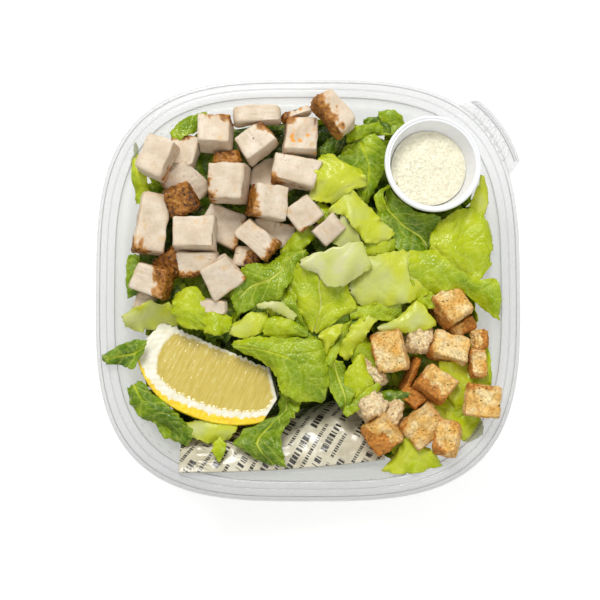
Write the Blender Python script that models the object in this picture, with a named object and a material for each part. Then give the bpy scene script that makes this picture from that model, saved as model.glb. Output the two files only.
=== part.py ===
"""Chicken caesar salad in its clear square bowl: romaine, chicken dice, croutons, a lemon wedge,
a packet of dressing and a small cup of grated parmesan. Metres, +Z up, origin under the bowl."""

import itertools
import math

import bmesh
import bpy
import numpy as np
from mathutils.bvhtree import BVHTree

MM = 0.001
GAP = 0.3  # clear space kept between pieces that touch
SMOOTH_ANGLE = math.radians(35)

# Bowl: half sizes of its plan at the skirt, and its thickness
BOWL_HALF = (95.8, 95.4)
BOWL_WALL = 0.8
OUTER_SQUARENESS = 3.25  # exponent of the rounded-square plan
INNER_SQUARENESS = 3.5
LEDGE_INSET, LEDGE_TOP = 12.9, 46.5
FLOOR_EDGE_INSET, FLOOR_TOP = 26.0, 1.2
# From the floor's middle outwards to the skirt's hem: inset from the hem, height, squareness,
# share of the corner flutes and share of the pull tab.
BOWL_SECTION = (
    (FLOOR_EDGE_INSET, FLOOR_TOP, INNER_SQUARENESS, 0.2, 0.0),
    (24.0, 4.0, INNER_SQUARENESS, 0.8, 0.0),
    (LEDGE_INSET, LEDGE_TOP, INNER_SQUARENESS, 1.0, 0.0),
    (9.1, 47.0, OUTER_SQUARENESS, 0.0, 0.0),
    (8.3, 49.7, OUTER_SQUARENESS, 0.0, 0.0),
    (5.2, 50.0, OUTER_SQUARENESS, 0.0, 0.0),
    (2.2, 49.2, OUTER_SQUARENESS, 0.0, 0.9),
    (0.0, 45.5, OUTER_SQUARENESS, 0.0, 1.0),
)
FLUTE_DEPTH = 1.1
FLUTES_PER_CORNER = 5
STEPS_PER_FLUTE = 4
CORNER_FROM, CORNER_TO = 30.0, 60.0  # degrees of each quadrant that the flutes fill
BEFORE_CORNER = (0.0, 8.0, 15.0, 21.0, 24.0, 27.0)  # the plan's other angles in a quadrant
AFTER_CORNER = (67.5, 75.0, 82.5)
TAB_REACH = 6.0
TAB_FROM, TAB_FULL_FROM, TAB_FULL_TO, TAB_TO = 21.0, 24.0, 49.0, 55.5

# Cup of parmesan
CUP_PLACE = (53.2, 53.4, 30.8)
CUP_LEAN, CUP_LEANS_TOWARDS = 6.5, 30.0  # degrees: its mouth leans out over the bowl's corner
CUP_HEIGHT, CUP_WALL = 28.0, 0.9
CUP_BASE_RADIUS, CUP_MOUTH_RADIUS, CUP_LIP_RADIUS = 14.9, 20.3, 21.9
CHEESE_LEVEL, CHEESE_CROWN = 17.5, 1.6
ROUND_STEPS = 32

# Lemon wedge: the straight inner edge, and the angles of its two cut faces
LEMON_CORE = ((-66.0, -14.5, 41.5), (-19.0, -35.0, 42.5))
LEMON_RADIUS = 34.8
LEMON_FACE_ANGLES = (11.0, -36.0)
LEMON_END_SHARES = (0.53, 0.70)  # radius left at each trimmed end
LEMON_END_SLANTS = ((0.2, 2.8, 5.5), (1.5, 10.8, 9.0))  # each end's reach: core, midway, rind

# Dressing packet: a pillow whose upper edge lies on the bowl's ledge at its left end and sinks
# into the bowl to the right; below that edge it bends down, most steeply beside the lemon.
PACKET_LENGTH, PACKET_WIDTH, PACKET_FULL = 92.0, 36.0, 8.0
PACKET_CORNER = (-57.5, -82.8, 52.2)
PACKET_DRIFT, PACKET_SINK = 5.3, 7.6
PACKET_SLOPE_AT_EDGE = (25.0, 18.0)  # degrees at the left and at the right end
PACKET_SLOPE_BELOW = (88.0, 28.0)
PACKET_SEAL = 8.0
PACKET_SEAL_FULL = 0.9

# Lettuce heap
HEAP_CELLS = 24
HEAP_TOP, HEAP_EDGE = 50.5, 42.0
HEAP_RIPPLE = 1.8
HEAP_CLEAR = 1.6
HEAP_NEAR = 8.5  # a topping this close lowers the heap
HEAP_SIDE_SHARES = (0.5, 0.0)
HEAP_LOWEST = 6.0

# Chicken dice: x, y, top, width, depth, height, yaw, lean, lean towards, pinch of the far side.
# Millimetres and degrees; where two would meet, the one whose top is higher keeps its shape.
CHICKEN = (
    (-68.5, 58.5, 60.0, 12.5, 16.5, 11.0, -24, 9, 135, 0.95),
    (-58.5, 65.0, 52.0, 13.0, 13.0, 11.0, -15, 8, 120, 0.90),
    (-42.0, 71.5, 56.5, 14.5, 13.5, 13.0, 0, 14, 95, 0.97),
    (-22.5, 76.0, 57.5, 20.5, 11.5, 10.0, 3, 6, 80, 1.08),
    (-24.0, 66.0, 57.5, 15.5, 10.5, 12.0, 36, 8, 150, 0.95),
    (-3.0, 69.5, 55.5, 15.5, 15.5, 13.0, -4, 9, 60, 0.85),
    (-4.5, 79.5, 54.5, 14.0, 9.0, 9.0, 18, 6, 90, 0.90),
    (12.5, 78.0, 62.0, 22.0, 9.5, 11.0, -52, 10, 40, 0.85),
    (-5.5, 53.5, 55.0, 21.0, 14.0, 11.0, -14, 5, 90, 1.10),
    (-37.0, 47.0, 58.5, 17.0, 17.0, 13.0, -3, 9, 170, 0.96),
    (-16.0, 51.0, 49.5, 16.5, 15.0, 11.0, 30, 8, 80, 0.90),
    (-17.0, 38.0, 57.0, 16.5, 14.5, 13.0, -8, 16, 350, 0.95),
    (-56.0, 48.5, 51.5, 15.0, 14.5, 12.0, 44, 10, 120, 0.95),
    (-57.0, 38.0, 55.0, 13.5, 12.0, 9.0, 26, 18, 290, 0.90),
    (-69.5, 29.5, 54.0, 13.5, 26.0, 13.0, -6, 12, 10, 0.80),
    (-37.5, 29.0, 48.5, 21.5, 20.0, 11.0, -20, 5, 0, 0.85),
    (-51.0, 24.5, 57.0, 18.5, 13.5, 12.0, 1, 8, 110, 0.98),
    (-50.0, 12.0, 52.5, 17.5, 15.0, 12.0, 4, 10, 255, 0.92),
    (-64.0, 15.0, 49.5, 16.0, 19.0, 11.0, 38, 10, 240, 0.95),
    (-71.0, 3.0, 55.5, 17.5, 12.5, 11.5, -16, 8, 200, 0.85),
    (-75.0, -7.0, 49.0, 7.5, 10.0, 9.0, -20, 6, 180, 0.90),
    (-23.0, 21.5, 55.0, 19.5, 10.0, 11.0, -41, 8, 230, 0.92),
    (-15.5, 26.0, 47.5, 20.0, 14.0, 11.0, -12, 4, 300, 0.90),
    (-2.0, 33.0, 54.5, 14.5, 12.5, 12.0, 40, 7, 230, 0.95),
    (8.5, 27.0, 53.0, 14.0, 13.5, 12.0, 44, 10, 300, 0.95),
    (-38.5, 3.8, 55.0, 16.5, 14.5, 12.5, 36, 14, 290, 0.80),
    (-45.0, -6.0, 51.5, 17.5, 10.5, 10.0, -6, 6, 260, 0.85),
    (-27.5, 14.0, 49.5, 12.0, 8.5, 9.0, -12, 4, 0, 0.90),
    (-36.5, 58.5, 51.0, 13.0, 9.0, 10.0, 5, 10, 90, 0.90),
)

# Croutons: the same columns
CROUTONS = (
    (65.0, -6.5, 54.5, 14.0, 14.0, 12.0, 32, 20, 60, 0.92),
    (70.0, -15.5, 48.5, 11.5, 11.0, 10.0, 20, 10, 0, 0.90),
    (36.0, -29.0, 53.5, 14.5, 18.0, 13.0, 12, 8, 200, 0.95),
    (50.5, -23.0, 50.0, 11.5, 10.0, 10.0, -4, 8, 100, 0.80),
    (64.0, -26.5, 52.5, 18.0, 11.0, 12.0, -16, 10, 80, 0.95),
    (78.0, -23.5, 52.5, 7.0, 8.5, 8.0, 10, 8, 0, 0.85),
    (77.5, -34.5, 52.5, 7.0, 12.0, 10.0, 4, 8, 0, 0.90),
    (29.5, -36.0, 49.0, 7.5, 16.0, 10.0, 42, 8, 180, 0.80),
    (44.0, -38.5, 48.0, 10.5, 16.0, 11.0, -24, 10, 300, 0.95),
    (57.5, -43.0, 54.5, 15.5, 12.5, 12.5, -38, 10, 60, 0.95),
    (46.5, -51.0, 48.5, 14.0, 13.0, 11.0, -38, 8, 140, 0.90),
    (77.0, -51.0, 61.0, 15.0, 13.0, 11.0, -6, 3, 200, 0.95),
    (29.0, -53.5, 52.5, 12.5, 12.0, 10.0, 42, 10, 90, 0.85),
    (40.0, -57.0, 50.5, 10.5, 11.0, 9.0, -20, 8, 180, 0.85),
    (52.0, -63.5, 55.0, 18.5, 13.5, 12.5, 37, 10, 300, 0.95),
    (32.5, -67.0, 56.0, 14.0, 13.5, 10.5, 34, 12, 250, 0.92),
    (60.5, -66.0, 58.0, 10.5, 14.5, 9.5, -14, 20, 120, 0.92),
)
BROWNED = (8, 14, 19, 28, 29)  # dice that show a seared face
CORNER_UNEVENNESS = 0.05
EDGE_WEAR = 0.7
WALL_TRIES = 3


def clear_scene():
    for obj in list(bpy.data.objects):
        bpy.data.objects.remove(obj, do_unlink=True)


def material(name, colour, roughness, alpha=1.0):
    made = bpy.data.materials.new(name)
    made.use_nodes = True
    shader = made.node_tree.nodes["Principled BSDF"]
    shader.inputs["Base Color"].default_value = (*colour, 1.0)
    shader.inputs["Roughness"].default_value = roughness
    shader.inputs["Metallic"].default_value = 0.0
    shader.inputs["Alpha"].default_value = alpha
    return made


def add_piece(name, points_mm, faces, finish):
    """One closed solid from its points in millimetres and its faces, turned outwards."""
    mesh = bpy.data.meshes.new(name)
    mesh.from_pydata([tuple(p) for p in np.asarray(points_mm) * MM], [], faces)
    mesh.materials.append(finish)
    editable = bmesh.new()
    editable.from_mesh(mesh)
    bmesh.ops.recalc_face_normals(editable, faces=editable.faces)
    editable.to_mesh(mesh)
    editable.free()
    piece = bpy.data.objects.new(name, mesh)
    bpy.context.scene.collection.objects.link(piece)
    mesh.shade_smooth()
    mesh.set_sharp_from_angle(angle=SMOOTH_ANGLE)
    return piece


def band_faces(rows, steps):
    """Four-sided faces between neighbouring rings of `steps` points each."""
    faces = []
    for row in range(rows - 1):
        here, above = row * steps, (row + 1) * steps
        for step in range(steps):
            onward = (step + 1) % steps
            faces.append((here + step, here + onward, above + onward, above + step))
    return faces


def shell_mesh(rings, first_pole, last_pole):
    """Rings of equal length joined into a closed shell, with a fan from each pole."""
    rows, steps = rings.shape[:2]
    points = np.concatenate([rings.reshape(-1, 3), [first_pole], [last_pole]])
    faces = band_faces(rows, steps)
    bottom, top = rows * steps, rows * steps + 1
    end = (rows - 1) * steps
    for step in range(steps):
        onward = (step + 1) % steps
        faces.append((bottom, onward, step))
        faces.append((top, end + step, end + onward))
    return points, faces


def rounded_square(angles, half_x, half_y, squareness):
    """Points of |x/a|^n + |y/b|^n = 1 at the given angles."""
    power = 2.0 / squareness
    across = np.sign(np.cos(angles)) * np.abs(np.cos(angles)) ** power
    along = np.sign(np.sin(angles)) * np.abs(np.sin(angles)) ** power
    return half_x * across, half_y * along


def plan_angles():
    """Angles round the bowl, close together where the corner flutes are."""
    corner = np.linspace(CORNER_FROM, CORNER_TO, FLUTES_PER_CORNER * STEPS_PER_FLUTE + 1)
    quadrant = np.concatenate([BEFORE_CORNER, corner, AFTER_CORNER])
    return np.radians(np.concatenate([quadrant + 90.0 * turn for turn in range(4)]))


def flute_swell(angles):
    """1 on the crest of each corner flute and 0 between them."""
    turn = np.degrees(angles) % 90.0
    phase = (turn - CORNER_FROM) / (CORNER_TO - CORNER_FROM) * FLUTES_PER_CORNER
    inside = (turn >= CORNER_FROM - 0.1) & (turn <= CORNER_TO + 0.1)
    return np.where(inside, np.maximum(0.0, np.cos(2.0 * np.pi * phase)), 0.0)


def tab_swell(angles):
    """1 across the pull tab, easing to 0 at its two ends."""
    marks = (TAB_FROM, TAB_FULL_FROM, TAB_FULL_TO, TAB_TO)
    return np.interp(np.degrees(angles) % 360.0, marks, (0.0, 1.0, 1.0, 0.0))


def section_normals(section):
    """Unit normals of the bowl's section, on the side of the wall's thickness."""
    path = np.array([(-row[0], row[1]) for row in section])
    path = np.vstack([path[0] - (5.0, 0.0), path, path[-1] + (0.6, -2.0)])
    run = np.diff(path, axis=0)
    run /= np.linalg.norm(run, axis=1, keepdims=True)
    outward = np.column_stack([run[:, 1], -run[:, 0]])
    mean = outward[:-1] + outward[1:]
    return mean / np.linalg.norm(mean, axis=1, keepdims=True) ** 2 * 2.0


def bowl_ring(angles, inset, height, squareness, flute, tab):
    swell = flute * FLUTE_DEPTH * flute_swell(angles) + tab * TAB_REACH * tab_swell(angles)
    x, y = rounded_square(angles, BOWL_HALF[0] - inset, BOWL_HALF[1] - inset, squareness)
    length = np.hypot(x, y)
    x, y = x * (1.0 + swell / length), y * (1.0 + swell / length)
    return np.column_stack([x, y, np.full_like(x, height)])


def add_bowl(finish):
    """Thin shell: the section's upper side out to the hem, then its underside back to the middle."""
    angles = plan_angles()
    upper, lower = [], []
    for row, normal in zip(BOWL_SECTION, section_normals(BOWL_SECTION)):
        inset, height, squareness, flute, tab = row
        upper.append(bowl_ring(angles, inset, height, squareness, flute, tab))
        under = max(0.0, height + BOWL_WALL * normal[1])
        lower.append(bowl_ring(angles, inset - BOWL_WALL * normal[0], under, squareness, flute, tab))
    # The foot is flat, so its edge and the wall's first ring stand on one level.
    lower[0][:, 2] = 0.0
    rings = np.array(upper + lower[::-1])
    points, faces = shell_mesh(rings, (0.0, 0.0, FLOOR_TOP), (0.0, 0.0, 0.0))
    return add_piece("bowl", points, faces, finish)


def turned_mesh(profile, steps=ROUND_STEPS):
    """A profile of (radius, height) turned about Z; its ends close on the axis."""
    turn = np.arange(steps) * 2.0 * np.pi / steps
    rings = [
        np.column_stack([radius * np.cos(turn), radius * np.sin(turn), np.full(steps, height)])
        for radius, height in profile
    ]
    first, last = profile[0][1], profile[-1][1]
    return shell_mesh(np.array(rings), (0.0, 0.0, first), (0.0, 0.0, last))


def leaning(degrees, towards):
    """Rotation matrix that tips the Z axis over by so many degrees, towards an angle of the plan."""
    tip, way = math.radians(degrees), math.radians(towards)
    hinge = np.array([-math.sin(way), math.cos(way), 0.0])
    skew = np.array([[0, 0, hinge[1]], [0, 0, -hinge[0]], [-hinge[1], hinge[0], 0]])
    return np.eye(3) + math.sin(tip) * skew + (1.0 - math.cos(tip)) * skew @ skew


def leaned_cup(points):
    """Cup coordinates carried to the cup's place."""
    return np.asarray(points) @ leaning(CUP_LEAN, CUP_LEANS_TOWARDS).T + CUP_PLACE


def cup_inner_radius(height):
    share = (height - CUP_WALL) / (CUP_HEIGHT - CUP_WALL)
    return CUP_BASE_RADIUS - CUP_WALL + share * (CUP_MOUTH_RADIUS - CUP_BASE_RADIUS)


def add_cup(finish):
    profile = (
        (CUP_BASE_RADIUS - 1.0, 0.0),
        (CUP_BASE_RADIUS, 0.8),
        (CUP_MOUTH_RADIUS - 0.2, CUP_HEIGHT - 2.6),
        (CUP_LIP_RADIUS, CUP_HEIGHT - 2.2),
        (CUP_LIP_RADIUS, CUP_HEIGHT - 0.6),
        (CUP_LIP_RADIUS - 0.7, CUP_HEIGHT),
        (cup_inner_radius(CUP_HEIGHT) + 0.4, CUP_HEIGHT),
        (cup_inner_radius(CUP_HEIGHT - 1.0), CUP_HEIGHT - 1.0),
        (cup_inner_radius(2.0), 2.0),
        (cup_inner_radius(CUP_WALL) - 1.0, CUP_WALL),
    )
    points, faces = turned_mesh(profile)
    return add_piece("portion_cup", leaned_cup(points), faces, finish)


def add_parmesan(finish):
    floor = CUP_WALL + GAP
    brim = cup_inner_radius(CHEESE_LEVEL) - GAP
    profile = (
        (cup_inner_radius(CUP_WALL) - 1.2 - GAP, floor),
        (cup_inner_radius(2.2) - GAP, floor + 1.4),
        (brim, CHEESE_LEVEL),
        (brim * 0.82, CHEESE_LEVEL + CHEESE_CROWN * 0.7),
        (brim * 0.4, CHEESE_LEVEL + CHEESE_CROWN),
    )
    points, faces = turned_mesh(profile)
    points[-1, 2] = CHEESE_LEVEL + CHEESE_CROWN
    return add_piece("parmesan", leaned_cup(points), faces, finish)


def lemon_radius(along):
    """Radius of the lemon at -1..1 along its length, blunt at both trimmed ends."""
    end_share = LEMON_END_SHARES[0] if along < 0.0 else LEMON_END_SHARES[1]
    return LEMON_RADIUS * (1.0 - (1.0 - end_share) * abs(along) ** 2.4)


def add_lemon(finish):
    """Sections of the wedge along its inner edge: the edge, then the rind from face to face."""
    start, end = np.array(LEMON_CORE[0]), np.array(LEMON_CORE[1])
    axis = (end - start) / np.linalg.norm(end - start)
    outward = np.array([axis[1], -axis[0], 0.0])
    outward /= -np.linalg.norm(outward) * np.sign(outward[1])
    upward = np.cross(outward, axis) * np.sign(np.cross(outward, axis)[2])
    top, bottom = np.radians(LEMON_FACE_ANGLES)
    arc = np.linspace(top, bottom, 8)
    rings = []
    for along in np.linspace(-1.0, 1.0, 15):
        radius = lemon_radius(along)
        share = np.concatenate([[0.04, 0.5], np.ones(len(arc)), [0.5]])
        angle = np.concatenate([[0.0, top], arc, [bottom]])
        reach = (share * radius)[:, None]
        slants = LEMON_END_SLANTS[0 if along < 0.0 else 1]
        slant = along * np.interp(share, (0.0, 0.5, 1.0), slants)
        middle = start + (end - start) * (along + 1.0) / 2.0
        ring = middle + reach * (np.cos(angle)[:, None] * outward + np.sin(angle)[:, None] * upward)
        rings.append(ring + slant[:, None] * axis)
    rings = np.array(rings)
    points, faces = shell_mesh(rings, rings[0].mean(axis=0), rings[-1].mean(axis=0))
    return add_piece("lemon_wedge", points, faces, finish)


def packet_middle(across, along):
    """Middle surface of the packet: across 0..1 from left to right, along 0..1 from its upper edge
    down. Each cross-section is an arc whose slope grows evenly from edge to edge."""
    corner_x, corner_y, corner_z = PACKET_CORNER
    upper = np.radians(np.interp(across, (0.0, 1.0), PACKET_SLOPE_AT_EDGE))
    lower = np.radians(np.interp(across**2, (0.0, 1.0), PACKET_SLOPE_BELOW))
    slope = upper + (lower - upper) * along
    radius = PACKET_WIDTH / (lower - upper)
    x = corner_x + PACKET_LENGTH * across
    y = corner_y + PACKET_DRIFT * across**2.2 + radius * (np.sin(slope) - np.sin(upper))
    z = corner_z - PACKET_SINK * across - radius * (np.cos(upper) - np.cos(slope))
    return np.stack([x, y, z], axis=-1)


def packet_fullness(across, along):
    """Half thickness: full in the middle, thin at the long edges and at the end seals."""
    from_end = np.minimum(across, 1.0 - across) * PACKET_LENGTH
    ramp = np.clip((from_end - PACKET_SEAL) / (PACKET_LENGTH * 0.28), 0.0, 1.0)
    lens = np.clip(4.0 * along * (1.0 - along), 0.0, 1.0) ** 0.9
    return 0.5 * (PACKET_SEAL_FULL + (PACKET_FULL - PACKET_SEAL_FULL) * np.sin(ramp * np.pi / 2) * lens)


def add_packet(finish):
    across = np.array([0.0, 0.09, 0.14, 0.22, 0.34, 0.5, 0.66, 0.78, 0.86, 0.91, 1.0])
    along = np.linspace(0.0, 1.0, 9)
    grid_across, grid_along = np.meshgrid(across, along, indexing="ij")
    middle = packet_middle(grid_across, grid_along)
    tangent = np.gradient(middle, axis=1)
    normal = np.cross([1.0, 0.0, 0.0], tangent)
    normal /= np.linalg.norm(normal, axis=-1, keepdims=True)
    half = packet_fullness(grid_across, grid_along)[..., None]
    upper, lower = middle + normal * half, middle - normal * half
    rings = np.concatenate([upper, lower[:, ::-1]], axis=1)
    points, faces = shell_mesh(rings, rings[0].mean(axis=0), rings[-1].mean(axis=0))
    return add_piece("dressing_packet", points, faces, finish)


def block_corners(row, rng):
    """Eight corners of a cut block: a four-sided plan, pinched on its far side, uneven by a
    few per cent, drawn straight up, then turned about Z and leaned over."""
    x, y, top, width, depth, height, yaw, lean, towards, pinch = row
    far = width * pinch
    plan = np.array([(-width, -depth), (width, -depth), (far, depth), (-far, depth)]) / 2.0
    plan = plan + rng.uniform(-1.0, 1.0, (4, 2)) * CORNER_UNEVENNESS * min(width, depth)
    taper = rng.uniform(0.90, 1.0)
    low = np.column_stack([plan, np.full(4, -height)])
    high = np.column_stack([plan * taper, np.zeros(4)])
    cos, sin = math.cos(math.radians(yaw)), math.sin(math.radians(yaw))
    spin = np.array([[cos, -sin, 0], [sin, cos, 0], [0, 0, 1]])
    return np.vstack([low, high]) @ (leaning(lean, towards) @ spin).T + (x, y, top)


# Corner numbers of a block's six faces and of the edges its sides and top are drawn with
BLOCK_FACES = ((3, 2, 1, 0), (4, 5, 6, 7), (0, 1, 5, 4), (1, 2, 6, 5), (2, 3, 7, 6), (3, 0, 4, 7))
BLOCK_EDGES = ((0, 1), (1, 2), (2, 3), (3, 0), (0, 4), (1, 5), (2, 6), (3, 7))


def face_planes(corners):
    """Outward unit normals and offsets of a block's six faces."""
    first, second, third, _ = (corners[list(column)] for column in zip(*BLOCK_FACES))
    normals = np.cross(second - first, third - second)
    normals /= np.linalg.norm(normals, axis=1, keepdims=True)
    return normals, (normals * first).sum(axis=1)


def worn_planes(corners):
    """The six faces and, between each two that meet, a narrow plane that takes their edge off."""
    normals, offsets = face_planes(corners)
    all_normals, all_offsets = list(normals), list(offsets)
    for i, first in enumerate(BLOCK_FACES):
        for j in range(i + 1, len(BLOCK_FACES)):
            shared = set(first) & set(BLOCK_FACES[j])
            if len(shared) == 2:
                between = normals[i] + normals[j]
                between /= np.linalg.norm(between)
                all_normals.append(between)
                all_offsets.append(between @ corners[min(shared)] - EDGE_WEAR)
    return all_normals, all_offsets


def parting_axis(upper, lower):
    """Direction from the lower block to the upper one along which they overlap least, by the
    separating-axis test, and that overlap, with the gap kept between them."""
    directions = []
    edges = []
    for corners in (upper, lower):
        directions.append(face_planes(corners)[0])
        edges.append(np.array([corners[b] - corners[a] for a, b in BLOCK_EDGES]))
    crossed = np.cross(edges[0][:, None], edges[1][None]).reshape(-1, 3)
    length = np.linalg.norm(crossed, axis=1)
    directions.append(crossed[length > 1e-3] / length[length > 1e-3, None])
    axes = np.concatenate(directions)
    axes = np.concatenate([axes, -axes])
    overlap = (lower @ axes.T).max(axis=0) - (upper @ axes.T).min(axis=0) + GAP
    best = overlap.argmin()
    return axes[best], overlap[best]


def wall_push(corners):
    """Move that brings a block's corners inside the bowl's wall."""
    low = corners[corners[:, 2] < LEDGE_TOP + BOWL_WALL]
    if not len(low):
        return np.zeros(3)
    half_x, half_y = wall_half(np.clip(low[:, 2], FLOOR_TOP, LEDGE_TOP))
    level = (np.abs(low[:, 0]) / half_x) ** INNER_SQUARENESS
    level += (np.abs(low[:, 1]) / half_y) ** INNER_SQUARENESS
    excess = np.maximum(0.0, 1.0 - level ** (-1.0 / INNER_SQUARENESS))
    worst = excess.argmax()
    return -excess[worst] * np.array([low[worst, 0], low[worst, 1], 0.0])


def wall_half(height):
    """Half sizes of the space inside the wall at a height."""
    share = (LEDGE_TOP - height) / (LEDGE_TOP - FLOOR_TOP)
    inset = LEDGE_INSET + share * (FLOOR_EDGE_INSET - LEDGE_INSET) + 2.0 * GAP
    return BOWL_HALF[0] - inset, BOWL_HALF[1] - inset


def solid_from_planes(normals, offsets):
    """Corner points of the convex solid below all of the planes: where three meet, inside the rest."""
    normals, offsets = np.array(normals), np.array(offsets)
    triples = np.array(list(itertools.combinations(range(len(normals)), 3)))
    systems = normals[triples]
    sound = np.abs(np.linalg.det(systems)) > 1e-3
    points = np.linalg.solve(systems[sound], offsets[triples[sound]][..., None])[..., 0]
    points = points[(points @ normals.T <= offsets + 1e-6).all(axis=1)]
    return np.unique(np.round(points, 3), axis=0)


def add_convex(name, points_mm, finish):
    """The convex hull of the points, as one closed solid."""
    editable = bmesh.new()
    for point in points_mm:
        editable.verts.new(point * MM)
    bmesh.ops.convex_hull(editable, input=editable.verts)
    mesh = bpy.data.meshes.new(name)
    bmesh.ops.recalc_face_normals(editable, faces=editable.faces)
    editable.to_mesh(mesh)
    editable.free()
    mesh.materials.append(finish)
    bpy.context.scene.collection.objects.link(bpy.data.objects.new(name, mesh))


def add_blocks(rows, name, finish_of, rng):
    """Blocks pressed against each other: where two would overlap, the lower one is cut back."""
    blocks = [block_corners(row, rng) for row in rows]
    for corners in blocks:
        for _ in range(WALL_TRIES):
            corners += wall_push(corners)
    for number, corners in enumerate(blocks):
        normals, offsets = worn_planes(corners)
        for other in blocks:
            if other is corners or other[:, 2].max() < corners[:, 2].max():
                continue
            axis, overlap = parting_axis(other, corners)
            if overlap > 0.0:
                normals.append(axis)
                offsets.append((other @ axis).min() - GAP)
        points = solid_from_planes(normals, offsets)
        add_convex(f"{name}_{number + 1:02d}", points, finish_of(number + 1))


def undersides(reach, step):
    """Height of the lowest food above each point of a square grid, in millimetres."""
    verts, faces = [], []
    for obj in bpy.data.objects:
        if obj.name == "bowl":
            continue
        base = len(verts)
        verts.extend(vertex.co for vertex in obj.data.vertices)
        faces.extend([base + index for index in polygon.vertices] for polygon in obj.data.polygons)
    tree = BVHTree.FromPolygons(verts, faces)
    marks = np.arange(-reach, reach + step, step)
    heights = np.full((len(marks), len(marks)), np.inf)
    for i, x in enumerate(marks):
        for j, y in enumerate(marks):
            hit = tree.ray_cast((x * MM, y * MM, -0.05), (0.0, 0.0, 1.0))[0]
            if hit is not None:
                heights[i, j] = hit.z / MM
    return marks, heights


def heap_plan():
    """A square grid drawn out to the bowl's rounded square: direction and share of the reach."""
    side = np.linspace(-1.0, 1.0, HEAP_CELLS + 1)
    u, v = np.meshgrid(side, side, indexing="ij")
    share = np.maximum(np.abs(u), np.abs(v))
    # The angle of the rounded square whose point lies the same way as (u, v).
    power = INNER_SQUARENESS / 2.0
    angle = np.arctan2(np.sign(v) * np.abs(v) ** power, np.sign(u) * np.abs(u) ** power)
    x, y = rounded_square(angle, 1.0, 1.0, INNER_SQUARENESS)
    return x * share, y * share, share


def heap_surface(x, y, share, marks, heights):
    """Height of the heap: a low rippled dome, kept under whatever lies above each point."""
    ripple = np.sin(x / 9.0 + 1.3 * np.sin(y / 13.0)) * np.cos(y / 8.0 - 0.9 * np.sin(x / 11.0))
    top = HEAP_TOP - (HEAP_TOP - HEAP_EDGE) * share**3 + HEAP_RIPPLE * ripple
    for index in np.ndindex(top.shape):
        close_x = np.abs(marks - x[index]) < HEAP_NEAR
        close_y = np.abs(marks - y[index]) < HEAP_NEAR
        lowest = heights[np.ix_(close_x, close_y)].min()
        top[index] = max(HEAP_LOWEST, min(top[index], lowest - HEAP_CLEAR))
    return top


def add_lettuce(finish):
    """Uneven heap that fills the bowl below the toppings, kept clear of each of them."""
    plan_x, plan_y, share = heap_plan()
    marks, heights = undersides(reach=BOWL_HALF[0] - LEDGE_INSET, step=0.8)
    top = np.full_like(share, HEAP_EDGE)
    for _ in range(WALL_TRIES):  # the wall leans, so the heap's plan depends on its height
        half_x, half_y = wall_half(np.minimum(top, HEAP_EDGE))
        top = heap_surface(plan_x * half_x, plan_y * half_y, share, marks, heights)
    half_x, half_y = wall_half(np.minimum(top, HEAP_EDGE))
    points = [np.column_stack([(plan_x * half_x).ravel(), (plan_y * half_y).ravel(), top.ravel()])]
    count = HEAP_CELLS + 1
    cells = range(HEAP_CELLS)
    corner = [i * count + j for i in cells for j in cells]
    faces = [(at, at + count, at + count + 1, at + 1) for at in corner]
    rim = [i * count for i in cells] + [HEAP_CELLS * count + j for j in cells]
    rim += [i * count + HEAP_CELLS for i in range(HEAP_CELLS, 0, -1)] + list(range(HEAP_CELLS, 0, -1))
    above = rim
    for share_left in HEAP_SIDE_SHARES:
        floor = FLOOR_TOP + GAP
        level = floor + (points[0][rim, 2] - floor) * share_left
        half_x, half_y = wall_half(level)
        base = sum(len(block) for block in points)
        side_x, side_y = plan_x.ravel()[rim] * half_x, plan_y.ravel()[rim] * half_y
        points.append(np.column_stack([side_x, side_y, level]))
        below = list(range(base, base + len(rim)))
        for step in range(len(rim)):
            onward = (step + 1) % len(rim)
            faces.append((above[onward], above[step], below[step], below[onward]))
        above = below
    faces.append(tuple(above[::-1]))
    return add_piece("lettuce", np.concatenate(points), faces, finish)


def build():
    clear_scene()
    rng = np.random.default_rng(7)
    add_bowl(material("clear_plastic", (0.90, 0.92, 0.90), 0.08, alpha=0.35))
    add_cup(material("frosted_plastic", (0.88, 0.89, 0.92), 0.30))
    add_parmesan(material("grated_cheese", (0.93, 0.90, 0.74), 0.85))
    add_lemon(material("lemon", (0.90, 0.80, 0.20), 0.45))
    add_packet(material("packet_film", (0.88, 0.86, 0.76), 0.25))
    breast = material("chicken_breast", (0.80, 0.66, 0.53), 0.60)
    seared = material("browned_chicken", (0.55, 0.32, 0.16), 0.60)
    bread = material("toasted_bread", (0.70, 0.42, 0.17), 0.80)
    add_blocks(CHICKEN, "chicken", lambda number: seared if number in BROWNED else breast, rng)
    add_blocks(CROUTONS, "crouton", lambda number: bread, rng)
    add_lettuce(material("romaine", (0.35, 0.52, 0.08), 0.45))


build()
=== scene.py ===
"""A chicken caesar salad in its clear square bowl: chopped romaine with diced grilled chicken and
croutons, a lemon wedge, a packet of dressing and a small cup of grated parmesan.

Shapes are worked out in millimetres, with the origin under the bowl, and put into meshes in
metres. +X is the side with the croutons, +Y the side with the chicken."""

import math

import bmesh
import bpy
import numpy as np
from mathutils import Matrix


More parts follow.
